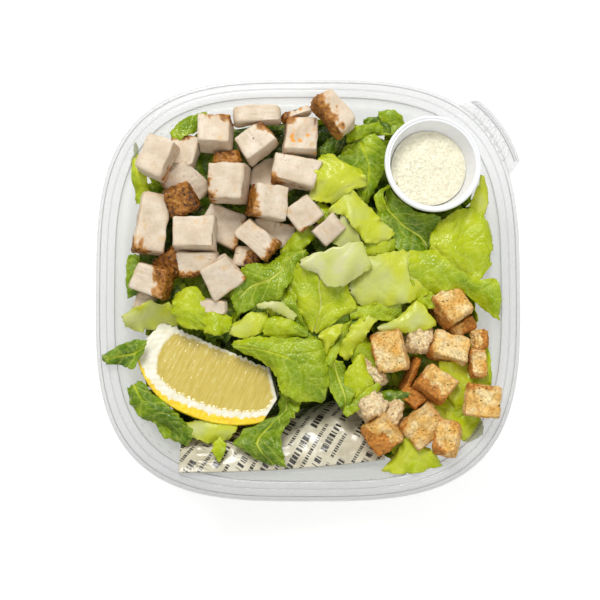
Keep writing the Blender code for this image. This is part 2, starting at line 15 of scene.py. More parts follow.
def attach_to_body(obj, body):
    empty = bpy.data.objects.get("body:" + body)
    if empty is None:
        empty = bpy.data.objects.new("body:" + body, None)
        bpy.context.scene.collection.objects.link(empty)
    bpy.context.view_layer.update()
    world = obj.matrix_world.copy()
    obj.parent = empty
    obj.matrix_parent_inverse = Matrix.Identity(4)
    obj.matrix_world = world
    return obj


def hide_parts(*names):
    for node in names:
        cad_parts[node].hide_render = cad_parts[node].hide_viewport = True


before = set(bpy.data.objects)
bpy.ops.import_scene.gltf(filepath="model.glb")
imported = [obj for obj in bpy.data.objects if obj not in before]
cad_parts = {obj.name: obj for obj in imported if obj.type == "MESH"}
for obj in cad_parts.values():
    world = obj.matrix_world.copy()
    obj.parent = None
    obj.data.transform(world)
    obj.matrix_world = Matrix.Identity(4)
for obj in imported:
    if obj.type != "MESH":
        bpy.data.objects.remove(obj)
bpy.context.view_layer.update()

bpy.context.scene.view_settings.view_transform = "Standard"

# ---------------------------------------------------------------------------------------------
# Bowl: thermoformed from one sheet of clear PET. A rounded bead for the lid to snap on, a flat
# ledge inside it, a sloping wall with small flutes at the corners, and a pull tab at one corner
# embossed with a row of slanting leaf shapes inside a double border.
# ---------------------------------------------------------------------------------------------

MM = 0.001
BOWL_HALF = (95.8, 95.4)  # half sizes of the plan at the hem
OUTER_SQUARENESS, INNER_SQUARENESS = 3.25, 3.5  # exponent n of |x/a|^n + |y/b|^n = 1
LEDGE_INSET, LEDGE_TOP = 12.9, 46.5
FLOOR_INSET, FLOOR_TOP = 26.0, 1.2
BOWL_WALL = 0.7
FLUTE_DEPTH, FLUTES_PER_CORNER = 1.1, 5
CORNER_FROM, CORNER_TO = 30.0, 60.0  # degrees of each quadrant
TAB_MARKS = (21.0, 24.0, 49.0, 55.5)  # degrees: the tab starts, is full, is full, ends
BENDS = (  # inset, width and strength of each bend painted as a dark line of painted shade; a negative strength paints a clearer, lighter band, a painted highlight
    (-5.6, 0.4, 0.5), (0.3, 0.5, 0.35), (1.8, 0.25, 0.6), (5.1, 0.3, 0.35), (6.6, 0.5, -0.35),
    (8.7, 0.22, 0.8), (9.5, 0.3, 0.3), (11.0, 0.7, -0.3), (12.2, 0.2, 0.3), (12.85, 0.3, 1.0),
    (24.6, 0.8, 0.5),
)

# Stations of the section from the floor's edge outwards: inset, height, squareness, flute share.
BOWL_STATIONS = (
    (40.0, 1.9, INNER_SQUARENESS, 0.0),
    (31.0, 1.9, INNER_SQUARENESS, 0.0),
    (29.5, 1.2, INNER_SQUARENESS, 0.0),
    (26.5, 1.2, INNER_SQUARENESS, 0.1),
    (24.9, 2.0, INNER_SQUARENESS, 0.4),
    (24.0, 4.0, INNER_SQUARENESS, 0.8),
    (21.3, 14.3, INNER_SQUARENESS, 0.9),
    (18.4, 25.2, INNER_SQUARENESS, 1.0),
    (15.5, 36.4, INNER_SQUARENESS, 1.0),
    (13.3, 44.9, INNER_SQUARENESS, 1.0),
    (12.9, 46.4, INNER_SQUARENESS, 1.0),
    (12.3, 46.9, INNER_SQUARENESS, 0.8),
    (11.6, 46.8, 3.42, 0.2),
    (10.4, 46.8, 3.35, 0.0),
    (9.5, 46.8, OUTER_SQUARENESS, 0.0),
    (9.1, 47.2, OUTER_SQUARENESS, 0.0),
    (8.8, 48.8, OUTER_SQUARENESS, 0.0),
    (8.2, 49.7, OUTER_SQUARENESS, 0.0),
    (7.0, 50.0, OUTER_SQUARENESS, 0.0),
    (5.6, 50.0, OUTER_SQUARENESS, 0.0),
    (5.1, 49.7, OUTER_SQUARENESS, 0.0),
    (4.6, 49.9, OUTER_SQUARENESS, 0.0),
    (3.2, 49.7, OUTER_SQUARENESS, 0.0),
    (2.5, 49.4, OUTER_SQUARENESS, 0.0),
)
# The section goes on as a plain skirt, and at the tab as a flat plate: inset and height of each.
SKIRT = (
    (2.1, 49.0), (1.9, 49.0), (1.6, 49.0), (1.3, 48.9), (1.05, 48.6), (0.85, 48.2),
    (0.65, 47.7), (0.5, 47.2), (0.35, 46.7), (0.15, 46.1), (0.0, 45.5),
)
TAB_PLATE = (
    (2.1, 49.0), (1.4, 48.9), (0.5, 48.9), (-0.4, 48.9), (-1.3, 48.9), (-2.2, 48.9),
    (-3.0, 48.9), (-3.9, 49.0), (-4.9, 48.9), (-5.6, 47.8), (-6.0, 45.6),
)


def smooth_path(stations, steps):
    """Catmull-Rom curve through the stations (rows of numbers), so many steps between each two."""
    stations = np.asarray(stations, float)
    padded = np.vstack([2 * stations[0] - stations[1], stations, 2 * stations[-1] - stations[-2]])
    t = (np.arange(steps) / steps)[None, :, None]
    a, b, c, d = (padded[i : len(padded) - 3 + i][:, None] for i in range(4))
    bend = 2 * b + (c - a) * t + (2 * a - 5 * b + 4 * c - d) * t**2 + (3 * b - a - 3 * c + d) * t**3
    return np.vstack([(bend / 2).reshape(-1, stations.shape[1]), stations[-1:]])


def rounded_square(angle, half_x, half_y, squareness):
    """Points of |x/a|^n + |y/b|^n = 1: each coordinate is half a side times cos or sin^(2/n)."""
    power = 2.0 / squareness
    cos, sin = np.cos(angle), np.sin(angle)
    return half_x * np.sign(cos) * np.abs(cos) ** power, half_y * np.sign(sin) * np.abs(sin) ** power


def outward(mesh):
    """Turns every face of a closed mesh outwards."""
    editable = bmesh.new()
    editable.from_mesh(mesh)
    bmesh.ops.recalc_face_normals(editable, faces=editable.faces)
    editable.to_mesh(mesh)
    editable.free()


def mesh_of(points, faces, smooth=True):
    """Mesh of points in millimetres and one array of faces for each number of corners."""
    mesh = bpy.data.meshes.new("shape")
    mesh.vertices.add(len(points))
    mesh.vertices.foreach_set("co", (np.asarray(points, np.float64) * MM).ravel())
    corners = np.concatenate([np.asarray(part).ravel() for part in faces])
    sizes = np.concatenate([np.full(len(part), part.shape[1]) for part in faces])
    mesh.loops.add(len(corners))
    mesh.loops.foreach_set("vertex_index", corners)
    mesh.polygons.add(len(sizes))
    mesh.polygons.foreach_set("loop_start", np.concatenate([[0], np.cumsum(sizes)[:-1]]))
    mesh.update(calc_edges=True)
    outward(mesh)
    if smooth:
        mesh.shade_smooth()
    return mesh


def grid_quads(index):
    """Four-sided faces of a grid of vertex numbers."""
    corners = (index[:-1, :-1], index[:-1, 1:], index[1:, 1:], index[1:, :-1])
    return np.stack(corners, axis=-1).reshape(-1, 4)


def ringed_mesh(rings):
    """Closed shell over rings of points: quads between the rings and a fan at each end's middle."""
    rows, columns = rings.shape[:2]
    index = np.arange(rows * columns).reshape(rows, columns)
    poles = np.array([rings[0].mean(axis=0), rings[-1].mean(axis=0)])
    fans = []
    for pole, ring in ((0, index[0]), (1, index[-1])):
        fans.append(np.column_stack([np.full(columns, rows * columns + pole), ring, np.roll(ring, -1)]))
    quads = grid_quads(np.hstack([index, index[:, :1]]))
    return mesh_of(np.concatenate([rings.reshape(-1, 3), poles]), [quads, *fans])


def add_attribute(mesh, name, values):
    """One number for each vertex, for the materials to read."""
    values = np.concatenate([np.ravel(values), np.zeros(len(mesh.vertices) - np.size(values))])
    made = mesh.attributes.new(name, "FLOAT", "POINT")
    made.data.foreach_set("value", values.astype(np.float32))


def add_piece(name, mesh, material, material_slot, *nodes):
    """The finished piece: named, given its material, on its body and in place of its CAD nodes."""
    mesh.name = name
    mesh.materials.append(material)
    piece = bpy.data.objects.new(name, mesh)
    bpy.context.scene.collection.objects.link(piece)
    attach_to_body(piece, "root")
    if nodes:
        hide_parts(*nodes)
    return piece


def paint(red, green, blue):
    """Linear colour of a display colour given in 0..255."""
    share = np.array([red, green, blue]) / 255.0
    linear = np.where(share <= 0.04045, share / 12.92, ((share + 0.055) / 1.055) ** 2.4)
    return (*(float(part) for part in linear), 1.0)


def node(tree, kind, settings=None, **sockets):
    """A shader node. Each named socket takes a value, or the output that is linked to it."""
    made = tree.nodes.new("ShaderNode" + kind)
    for key, value in (settings or {}).items():
        setattr(made, key, value)
    for key, value in sockets.items():
        key = key.replace("_", " ").strip()
        socket = made.inputs[int(key)] if key.isdigit() else made.inputs[key]
        if isinstance(value, bpy.types.NodeSocket):
            tree.links.new(value, socket)
        else:
            socket.default_value = value
    return made


def calculate(tree, operation, first, second=0.0, clamp=False):
    """Output of one step of arithmetic."""
    made = node(tree, "Math", {"operation": operation, "use_clamp": clamp}, _0=first, _1=second)
    return made.outputs[0]


def mix_colours(tree, share, first, second):
    """First colour, turning into the second as share goes from 0 to 1."""
    return node(tree, "Mix", {"data_type": "RGBA"}, _0=share, _6=first, _7=second).outputs[2]


def ramp(tree, value, *stops):
    """Colours at places 0..1 of a value, blended in between."""
    made = node(tree, "ValToRGB", _0=value)
    elements = made.color_ramp.elements
    while len(elements) < len(stops):
        elements.new(0.5)
    for element, (place, colour) in zip(elements, stops):
        element.position, element.color = place, colour
    return made.outputs[0]


def step_up(tree, value, start, end):
    """0 below start, 1 above end, and an even slope between them."""
    made = node(tree, "MapRange", _0=value, _1=start, _2=end)
    return made.outputs[0]


def new_material(name, **sockets):
    """A material with its principled shader, whose plain sockets are set here."""
    material = bpy.data.materials.new(name)
    material.use_nodes = True
    shader = material.node_tree.nodes["Principled BSDF"]
    for key, value in sockets.items():
        shader.inputs[key.replace("_", " ")].default_value = value
    return material, material.node_tree, shader


def attach(tree, output, shader, socket):
    tree.links.new(output, shader.inputs[socket])


def place(tree):
    """Object coordinates, which are metres in the bowl's frame."""
    return node(tree, "TexCoord").outputs["Object"]


def attribute(tree, name):
    return node(tree, "Attribute", {"attribute_name": name}).outputs["Fac"]


def noise(tree, vector, scale, detail=3.0, roughness=0.5):
    """Noise value about 0.5, from a place in metres; scale is in waves per metre."""
    made = node(tree, "TexNoise", Vector=vector, Scale=scale, Detail=detail, Roughness=roughness)
    return made.outputs["Fac"]


def bump(tree, height, distance, strength=1.0, normal=None):
    """Normal bent by a height field; distance in metres."""
    made = node(tree, "Bump", Height=height, Distance=distance, Strength=strength)
    if normal is not None:
        tree.links.new(normal, made.inputs["Normal"])
    return made.outputs["Normal"]


def flute_swell(angle):
    """1 on the crest of each narrow corner flute and 0 between them, by a cosine to a power."""
    turn = np.degrees(angle) % 90.0
    phase = (turn - CORNER_FROM) / (CORNER_TO - CORNER_FROM) * FLUTES_PER_CORNER
    inside = (turn >= CORNER_FROM) & (turn <= CORNER_TO)
    return np.where(inside, np.maximum(0.0, np.cos(2.0 * np.pi * phase)) ** 0.8, 0.0)


def tab_swell(angle):
    """1 along the tab, easing to 0 at both ends by a smooth step."""
    share = np.interp(np.degrees(angle) % 360.0, TAB_MARKS, (0.0, 1.0, 1.0, 0.0))
    return share * share * (3.0 - 2.0 * share)


def tab_emboss(angle, inset):
    """Relief of the tab in mm: slanting leaf shapes, each a domed ellipse, and a double border."""
    along = (np.degrees(angle) - 26.0) * 1.42  # mm along the tab's middle
    across = -inset - 0.9
    relief = np.zeros(np.broadcast(angle, inset).shape)
    for leaf in range(7):
        shift = along - (2.6 + 4.5 * leaf)
        ahead = 0.80 * shift - 0.60 * across
        aside = 0.60 * shift + 0.80 * across
        relief = np.maximum(relief, 1.0 - (ahead / 1.05) ** 2 - (aside / 2.7) ** 2)
    relief = 1.1 * np.sqrt(np.maximum(relief, 0.0))
    for line in (3.55, 4.45):
        relief = relief + 0.5 * np.exp(-(((-inset - line) / 0.22) ** 2))
    full = np.interp(np.degrees(angle) % 360.0, (23.5, 25.5, 50.0, 53.0), (0.0, 1.0, 1.0, 0.0))
    return relief * full


def bowl_rings(angle, steps, drop):
    """The section carried round the plan. Each ring is the rounded square less the inset, pushed
    out at the flutes and the tab; drop moves it along the section's normal, for the underside."""
    inner = smooth_path(BOWL_STATIONS, steps)
    plain = smooth_path(SKIRT, steps)
    plate = smooth_path(TAB_PLATE, steps)
    whole = np.vstack([inner[:, :2], plain[:]])
    run = np.gradient(whole, axis=0)
    run /= np.linalg.norm(run, axis=1, keepdims=True)
    shift = drop * np.column_stack([run[:, 1], -run[:, 0]])
    count = len(inner)
    tab = tab_swell(angle)[None]
    inset = np.concatenate([np.repeat(inner[:, :1], len(angle), 1), plain[:, :1] * (1 - tab) + plate[:, :1] * tab])
    height = np.concatenate([np.repeat(inner[:, 1:2], len(angle), 1), plain[:, 1:] * (1 - tab) + plate[:, 1:] * tab])
    height = height + np.where(np.arange(len(whole))[:, None] >= count, tab_emboss(angle[None], inset), 0.0)
    squareness = np.concatenate([inner[:, 2], np.full(len(plain), OUTER_SQUARENESS)])[:, None]
    flutes = np.concatenate([inner[:, 3], np.zeros(len(plain))])[:, None] * FLUTE_DEPTH
    inset = inset + shift[:, :1]
    height = np.maximum(height - shift[:, 1:], 0.0)
    x, y = rounded_square(angle[None], BOWL_HALF[0] - inset, BOWL_HALF[1] - inset, squareness)
    out = 1.0 + flutes * flute_swell(angle)[None] / np.hypot(x, y)
    relief = np.where(np.arange(len(whole))[:, None] >= count, tab_emboss(angle[None], inset), 0.0)
    # 1 on the wall's rows below the rim, where the plastic gets its painted shade
    wall = np.clip((49.0 - height) / 2.0, 0.0, 1.0) * (np.arange(len(whole))[:, None] < count)
    return np.stack([x * out, y * out, height], axis=-1), painted_bend_shade(inset, relief) * (1.0 - wall), wall


def painted_bend_shade(inset, relief):
    """Painted shade where the sheet bends sharply: 0 to 1 as bell curves about the insets of the bends,
    and about the foot of the tab's raised shapes, standing in for light the bent plastic refracts; bends of negative
    strength give values below 0, a painted highlight."""
    share = sum(weight * np.exp(-(((inset - place) / width) ** 2)) for place, width, weight in BENDS)
    foot = 0.9 * np.exp(-(((relief - 0.30) / 0.20) ** 2)) * (relief > 0.02)
    return np.clip(np.maximum(share, foot), -0.4, 1.0)


quarter = np.concatenate([np.linspace(0, 28, 15)[:-1], np.linspace(28, 62, 50)[:-1], np.linspace(62, 90, 15)[:-1]])
tab_quarter = np.concatenate([np.linspace(0, 18, 10)[:-1], np.linspace(18, 62, 190)[:-1], np.linspace(62, 90, 15)[:-1]])
plan = np.radians(np.concatenate([tab_quarter, quarter + 90, quarter + 180, quarter + 270]))
(upper, upper_bend_shade, upper_wall_shade), (lower, _, lower_wall_shade) = bowl_rings(plan, 4, 0.0), bowl_rings(plan, 1, BOWL_WALL)
lower[:, :, 2] = np.minimum(lower[:, :, 2], 49.4)
lower[lower[:, :, 2] < 0.62, 2] = 0.0
bowl_mesh = ringed_mesh(np.concatenate([upper, lower[::-1]]))
add_attribute(bowl_mesh, "wall", np.concatenate([upper_wall_shade, lower_wall_shade[::-1]]))
add_attribute(bowl_mesh, "fold", np.concatenate([upper_bend_shade, 0.0 * lower_wall_shade]))

clear_plastic, tree, shader = new_material("clear_plastic", Roughness=0.07, IOR=1.5)
# Painted shade and highlight: darker, more opaque lines at the bends and round the tab's shapes, and clearer, lighter
# bands where a bend's strength is negative.
fold = attribute(tree, "fold")
wall = attribute(tree, "wall")
# Painted shade: the wall rows are made a darker, greenish grey, as the wall lies in shade with green leaves behind it,
# and a little clearer.
sheet = mix_colours(tree, wall, paint(186, 187, 187), paint(150, 153, 142))
attach(tree, mix_colours(tree, step_up(tree, fold, 0.0, 1.0), sheet, paint(92, 96, 86)), shader, "Base Color")
painted_shade_lines = calculate(tree, "SUBTRACT", calculate(tree, "MULTIPLY", fold, 0.42), calculate(tree, "MULTIPLY", wall, 0.10))
attach(tree, calculate(tree, "ADD", 0.36, painted_shade_lines), shader, "Alpha")
waves = noise(tree, place(tree), 90.0, 2.0)
attach(tree, bump(tree, waves, 0.0004, 0.15), shader, "Normal")
add_piece("clear_bowl", bowl_mesh, clear_plastic, "clear_plastic", "bowl")
# ---------------------------------------------------------------------------------------------
# Romaine: washed hearts and outer leaves chopped into pieces of 2 to 5 cm. Crisp thin blades,
# blistered between their veins, with pale ribs, ruffled rims and torn or cut ends. Below the
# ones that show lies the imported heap, dark where no light reaches.
# ---------------------------------------------------------------------------------------------

LEAF_THICKNESS = 0.35
HEAP_SINK = 3.5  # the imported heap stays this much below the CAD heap
SPINE_STEPS = 12


def ripples(points, wavelength, seed, count=14):
    """Uneven field of unit variance: sine waves running in random directions, added up."""
    rng = np.random.default_rng(seed)
    way = rng.normal(size=(count, points.shape[-1]))
    way /= np.linalg.norm(way, axis=1, keepdims=True)
    way *= 2.0 * np.pi / wavelength * rng.uniform(0.7, 1.4, (count, 1))
    return np.sin(points @ way.T + rng.uniform(0.0, 2.0 * np.pi, count)).sum(axis=-1) * math.sqrt(2.0 / count)


def cell_edges(x, y, spacing, seed):
    """Distance from each point to the nearest border of random cells, in mm: half the difference
    between the distances to its nearest and second nearest cell middles."""
    rng = np.random.default_rng(seed)
    rows = np.arange(y.min() - spacing, y.max() + spacing, spacing)
    columns = np.arange(x.min() - spacing, x.max() + spacing, spacing)
    middle_x, middle_y = np.meshgrid(columns, rows)
    middle_x = middle_x + rng.uniform(-0.42, 0.42, middle_x.shape) * spacing
    middle_y = middle_y + rng.uniform(-0.42, 0.42, middle_y.shape) * spacing
    away = np.hypot(x.reshape(-1, 1) - middle_x.ravel(), y.reshape(-1, 1) - middle_y.ravel())
    nearest = np.partition(away, 1, axis=1)[:, :2]
    return ((nearest[:, 1] - nearest[:, 0]) / 2.0).reshape(x.shape)


def beside(spine, widths, roll):
    """The two sides of a piece: its spine moved so far to each side, tilted by the roll."""
    spine = np.array(spine, float)
    run = np.gradient(spine, axis=0)
    out = np.column_stack([-run[:, 1], run[:, 0], 0.0 * run[:, 0]])
    out /= np.linalg.norm(out, axis=1, keepdims=True)
    out[:, 2] = math.tan(math.radians(roll))
    widths = np.array(widths)[:, None]
    return spine + out * widths, spine - out * widths


def blade(left, right, tone, rib, cup, ruffle, seed, cell=0.65):
    """A leaf piece between its two sides, each a row of places joined by nearly straight edges,
    as a knife leaves them. Across it the blade is cupped (t squared), its rim ruffled (a sine
    along the rim times |t| cubed) and its skin domed between slanting side veins and a net."""
    rng = np.random.default_rng(seed)
    sides = []
    for corners in (left, right):
        curve = smooth_path(corners, SPINE_STEPS)
        straight = smooth_path(np.array(corners), 1)
        at = np.linspace(0.0, len(straight) - 1.0, len(curve))
        straight = np.stack([np.interp(at, np.arange(len(straight)), column) for column in straight.T], axis=-1)
        sides.append(curve + (straight - curve) * (0.65, 0.65, 0.0))
    line = (sides[0] + sides[1]) / 2.0
    length = np.concatenate([[0.0], np.cumsum(np.linalg.norm(np.diff(line, axis=0), axis=1))])
    place_s = np.linspace(0.0, length[-1], max(8, int(length[-1] / cell)))
    left, right = [np.stack([np.interp(place_s, length, side[:, k]) for k in range(3)], axis=-1) for side in sides]
    width = np.linalg.norm(left - right, axis=1)
    t = np.linspace(-1.0, 1.0, max(8, int(width.max() / cell)))[None]
    base = right[:, None] + (left - right)[:, None] * ((t[..., None] + 1.0) / 2.0)
    run, side = np.gradient(base, axis=0), np.gradient(base, axis=1)
    lift = np.cross(run, side)
    run, side, lift = [way / np.linalg.norm(way, axis=-1, keepdims=True) for way in (run, side, lift)]
    s = place_s[:, None] + 0.0 * t
    aside = t * width[:, None] / 2.0
    edge = np.abs(t) + 0.0 * s
    flat = np.stack([s, aside], axis=-1)
    # Scalloped rims and torn ends, both in millimetres.
    scallops = 0.22 * ripples(flat, 8.0, seed + 1) + 0.15 * ripples(flat, 2.6, seed + 2)
    scallops = np.sign(t) * edge**4 * scallops
    from_end = np.minimum(s, length[-1] - s)
    near_end = np.exp(-((from_end / 3.0) ** 2)) * np.where(s < length[-1] / 2, -1.0, 1.0)
    torn = near_end * (0.35 * ripples(flat, 9.0, seed + 3) + 0.22 * ripples(flat, 2.2, seed + 4))
    # Side veins leave the spine on a slant; between them lies a net of cells, each a small dome.
    spacing = rng.uniform(6.0, 8.5)
    warp = ripples(flat, 14.0, seed + 5) * 1.0
    phase = (s - 1.1 * np.abs(aside) + warp + rng.uniform(0, spacing)) / spacing
    from_vein = np.abs(phase - np.round(phase)) * spacing
    net = cell_edges(s + warp * 0.4, aside * 1.15, 3.9, seed + 6)
    on_rib = np.exp(-((aside / (rib * (1.0 - 0.6 * s / length[-1]))) ** 2)) if rib > 0.0 else 0.0 * s
    vein = np.maximum(np.exp(-((from_vein / 0.30) ** 2)), 0.55 * np.exp(-((net / 0.22) ** 2)))
    dome = 0.40 * np.minimum(net / 1.1, 1.0) ** 0.6 + 0.60 * np.minimum(from_vein / 2.2, 1.0) ** 0.8
    blister = np.clip(0.1 + 1.2 * tone[0], 0.15, 0.8) * (1.0 + 0.4 * ripples(flat, 13.0, seed + 11))
    rim = ruffle * edge**3 * np.sin(2 * np.pi * s / rng.uniform(8.0, 12.0) + 2.0 * np.sign(t) + ripples(flat, 15.0, seed + 8))
    rim += 0.3 * ruffle * edge**5 * np.sin(2 * np.pi * s / 4.1 + rng.uniform(0, 6))
    swell = min(1.0, 0.4 + tone[0]) * ripples(flat, 21.0, seed + 9)
    height = cup * (t**2 - 0.3) + rim + swell + blister * dome * (1.0 - on_rib) - 0.5 * on_rib
    points = base + side * scallops[..., None] + run * torn[..., None] + lift * height[..., None]
    shade = np.interp(edge, (0.0, 0.55, 1.0), (tone[0], (tone[0] + tone[1]) / 2, tone[1]))
    shade = shade + 0.035 * ripples(flat, 12.0, seed + 10) + 0.10 * (s / length[-1] - 0.5)
    # Painted light: the shade value drops at the very rim, so the thin rim comes out paler as if light shone through
    # it.
    shade = shade * (1.0 - on_rib * 0.9) - 0.05 * (edge > 0.97)
    vein = vein * (1.0 - on_rib)
    skin = np.stack([s + 100.0 * (seed % 997), aside, 0.0 * s], axis=-1)
    return points, points - lift * LEAF_THICKNESS, shade, vein, skin


def vector_attribute(mesh, name, values):
    """Three numbers in millimetres for each vertex, for the materials to read in metres."""
    made = mesh.attributes.new(name, "FLOAT_VECTOR", "POINT")
    made.data.foreach_set("vector", (values * MM).astype(np.float32).ravel())


def blades_mesh(blades):
    """All the blades as one mesh: each one's two sides, joined round the rim."""
    points, faces, shades, veins, skins, base = [], [], [], [], [], 0
    for over, under, shade, vein, skin in blades:
        rows, columns = over.shape[:2]
        top = np.arange(rows * columns).reshape(rows, columns) + base
        low = top + rows * columns
        rim = np.concatenate([np.arange(columns - 1), np.arange(rows - 1) * columns + columns - 1,
                              rows * columns - 1 - np.arange(columns - 1), (rows - 1 - np.arange(rows - 1)) * columns])
        ahead = np.roll(rim, -1)
        faces += [grid_quads(top), grid_quads(low)[:, ::-1], np.column_stack([rim, rim + rows * columns, ahead + rows * columns, ahead]) + base]
        points += [over.reshape(-1, 3), under.reshape(-1, 3)]
        shades += [shade.ravel()] * 2
        veins += [vein.ravel()] * 2
        skins += [skin.reshape(-1, 3)] * 2
        base += 2 * rows * columns
    mesh = mesh_of(np.concatenate(points), [np.concatenate(faces)])
    add_attribute(mesh, "shade", np.concatenate(shades))
    add_attribute(mesh, "vein", np.concatenate(veins))
    vector_attribute(mesh, "skin_place", np.concatenate(skins))
    return mesh


romaine_leaf, tree, shader = new_material(
    "romaine_leaf", Subsurface_Weight=0.12, Subsurface_Scale=0.002,
    Subsurface_Radius=(0.7, 1.0, 0.1), Specular_IOR_Level=0.34,
)
shade, vein = attribute(tree, "shade"), attribute(tree, "vein")
uneven = noise(tree, place(tree), 90.0, 3.0)
shade = calculate(tree, "ADD", shade, calculate(tree, "MULTIPLY", calculate(tree, "SUBTRACT", uneven, 0.5), 0.12))
leaf_colour = ramp(
    tree, shade, (0.0, paint(204, 204, 148)), (0.12, paint(190, 197, 108)), (0.24, paint(194, 201, 46)),
    (0.38, paint(176, 190, 6)), (0.52, paint(148, 170, 2)), (0.66, paint(114, 144, 1)),
    (0.80, paint(74, 108, 1)), (1.0, paint(24, 52, 1)),
)
skin_place = node(tree, "Attribute", {"attribute_name": "skin_place"}).outputs["Vector"]
skin_noise = node(tree, "TexNoise", Vector=skin_place, Scale=400.0, Detail=2.0).outputs["Color"]
warped = node(tree, "VectorMath", {"operation": "MULTIPLY_ADD"}, _0=skin_noise, _1=(0.0012, 0.0012, 0.0), _2=skin_place)
cells = node(tree, "TexVoronoi", {"feature": "DISTANCE_TO_EDGE", "voronoi_dimensions": "2D"}, Vector=warped.outputs[0], Scale=620.0)
fine_net = step_up(tree, cells.outputs["Distance"], 0.0, 0.11)
fine_dome = step_up(tree, cells.outputs["Distance"], 0.0, 0.34)
vein_share = calculate(tree, "MULTIPLY", vein, 0.52)
leaf_colour = mix_colours(tree, vein_share, leaf_colour, paint(206, 216, 96))
net_share = calculate(tree, "MULTIPLY", calculate(tree, "SUBTRACT", 1.0, fine_net), 0.09)
leaf_colour = mix_colours(tree, net_share, leaf_colour, paint(200, 210, 66))
attach(tree, leaf_colour, shader, "Base Color")
attach(tree, bump(tree, calculate(tree, "MULTIPLY", fine_dome, step_up(tree, shade, 0.12, 0.55)), 0.0004, 0.35), shader, "Normal")
wetness = step_up(tree, noise(tree, place(tree), 120.0, 2.0), 0.42, 0.60)
attach(tree, calculate(tree, "SUBTRACT", 0.42, calculate(tree, "MULTIPLY", wetness, 0.20)), shader, "Roughness")

# The heap's level at a place: the CAD heap's upper points, weighed by how near they are.
heap_points = np.empty(len(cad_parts["lettuce"].data.vertices) * 3)
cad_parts["lettuce"].data.vertices.foreach_get("co", heap_points)
heap_points = heap_points.reshape(-1, 3) / MM
heap_points = heap_points[heap_points[:, 2] > 12.0]


def heap_level(x, y):
    """Mean height of the CAD heap's points about a place, by a bell curve of the distance."""
    away = (x.reshape(-1, 1) - heap_points[:, 0]) ** 2 + (y.reshape(-1, 1) - heap_points[:, 1]) ** 2
    weight = np.exp(-away / (2 * 3.0**2)) + 1e-12
    return (weight @ heap_points[:, 2] / weight.sum(axis=1)).reshape(x.shape)


def wall_half(height, clear):
    """Half sizes of the room inside the bowl's wall at a height, less a clearance."""
    share = (LEDGE_TOP - height) / (LEDGE_TOP - FLOOR_TOP)
    inset = LEDGE_INSET + share * (FLOOR_INSET - LEDGE_INSET) + clear
    return BOWL_HALF[0] - inset, BOWL_HALF[1] - inset


def kept_inside(points, clear):
    """Points held inside the bowl: those just under the ledge rest on it, and lower ones are
    drawn in to its wall, each by the share (|x/a|^n + |y/b|^n)^(1/n) it lies outside."""
    x, y, z = np.moveaxis(points, -1, 0)
    half_x, half_y = wall_half(np.minimum(z, LEDGE_TOP), clear)
    share = ((np.abs(x) / half_x) ** INNER_SQUARENESS + (np.abs(y) / half_y) ** INNER_SQUARENESS) ** (1.0 / INNER_SQUARENESS)
    outside = (share > 1.0) & (z < LEDGE_TOP + 0.4)
    resting = outside & (z > LEDGE_TOP - 4.0)
    shrink = np.where(outside & ~resting, 1.0 / np.maximum(share, 1.0), 1.0)
    return np.stack([x * shrink, y * shrink, np.where(resting, LEDGE_TOP + clear - 1.0, z)], axis=-1)


heap_angle = np.linspace(0.0, 2.0 * np.pi, 180, endpoint=False)[None]
heap_share = np.linspace(0.02, 1.0, 50)[:, None]
x, y = rounded_square(heap_angle, *wall_half(38.0, 2.5), INNER_SQUARENESS)
x, y = x * heap_share, y * heap_share
z = heap_level(x, y) - HEAP_SINK - 2.0 * heap_share**8
flat = np.stack([x, y], axis=-1)
z = z + 1.3 * ripples(flat, 11.0, 201) + 0.6 * ripples(flat, 4.5, 202)
rim_level = z[-1:]
sides = []
for share in (0.94, 0.8, 0.66, 0.52, 0.38, 0.24, 0.1, 0.0):
    level = FLOOR_TOP + 1.0 + (rim_level - FLOOR_TOP - 1.0) * share
    half_x, half_y = wall_half(level, 2.6)
    side_x, side_y = rounded_square(heap_angle, half_x, half_y, INNER_SQUARENESS)
    along_wall = np.stack([side_x, side_y, level * 1.0], axis=-1)
    shrink = 1.0 - 0.012 * np.maximum(ripples(along_wall, 12.0, 203), -1.0) - 0.004 * ripples(along_wall, 4.0, 204)
    sides.append(np.stack([side_x * shrink, side_y * shrink, level + 0.0 * side_x], axis=-1))
heap_rings = np.concatenate([np.stack([x, y, z], axis=-1), np.concatenate(sides)])
heap_rings[: len(z)] = kept_inside(heap_rings[: len(z)], 2.6)
heap_mesh = ringed_mesh(heap_rings)
add_attribute(heap_mesh, "shade", 0.86 + 0.12 * ripples(heap_rings.reshape(-1, 3), 14.0, 205))
add_attribute(heap_mesh, "vein", np.exp(-((ripples(heap_rings.reshape(-1, 3), 9.0, 206) / 0.12) ** 2)) * 0.5)
vector_attribute(heap_mesh, "skin_place", np.concatenate([heap_rings.reshape(-1, 3), np.zeros((2, 3))]))
add_piece("packed_romaine", heap_mesh, romaine_leaf, "romaine", "lettuce")

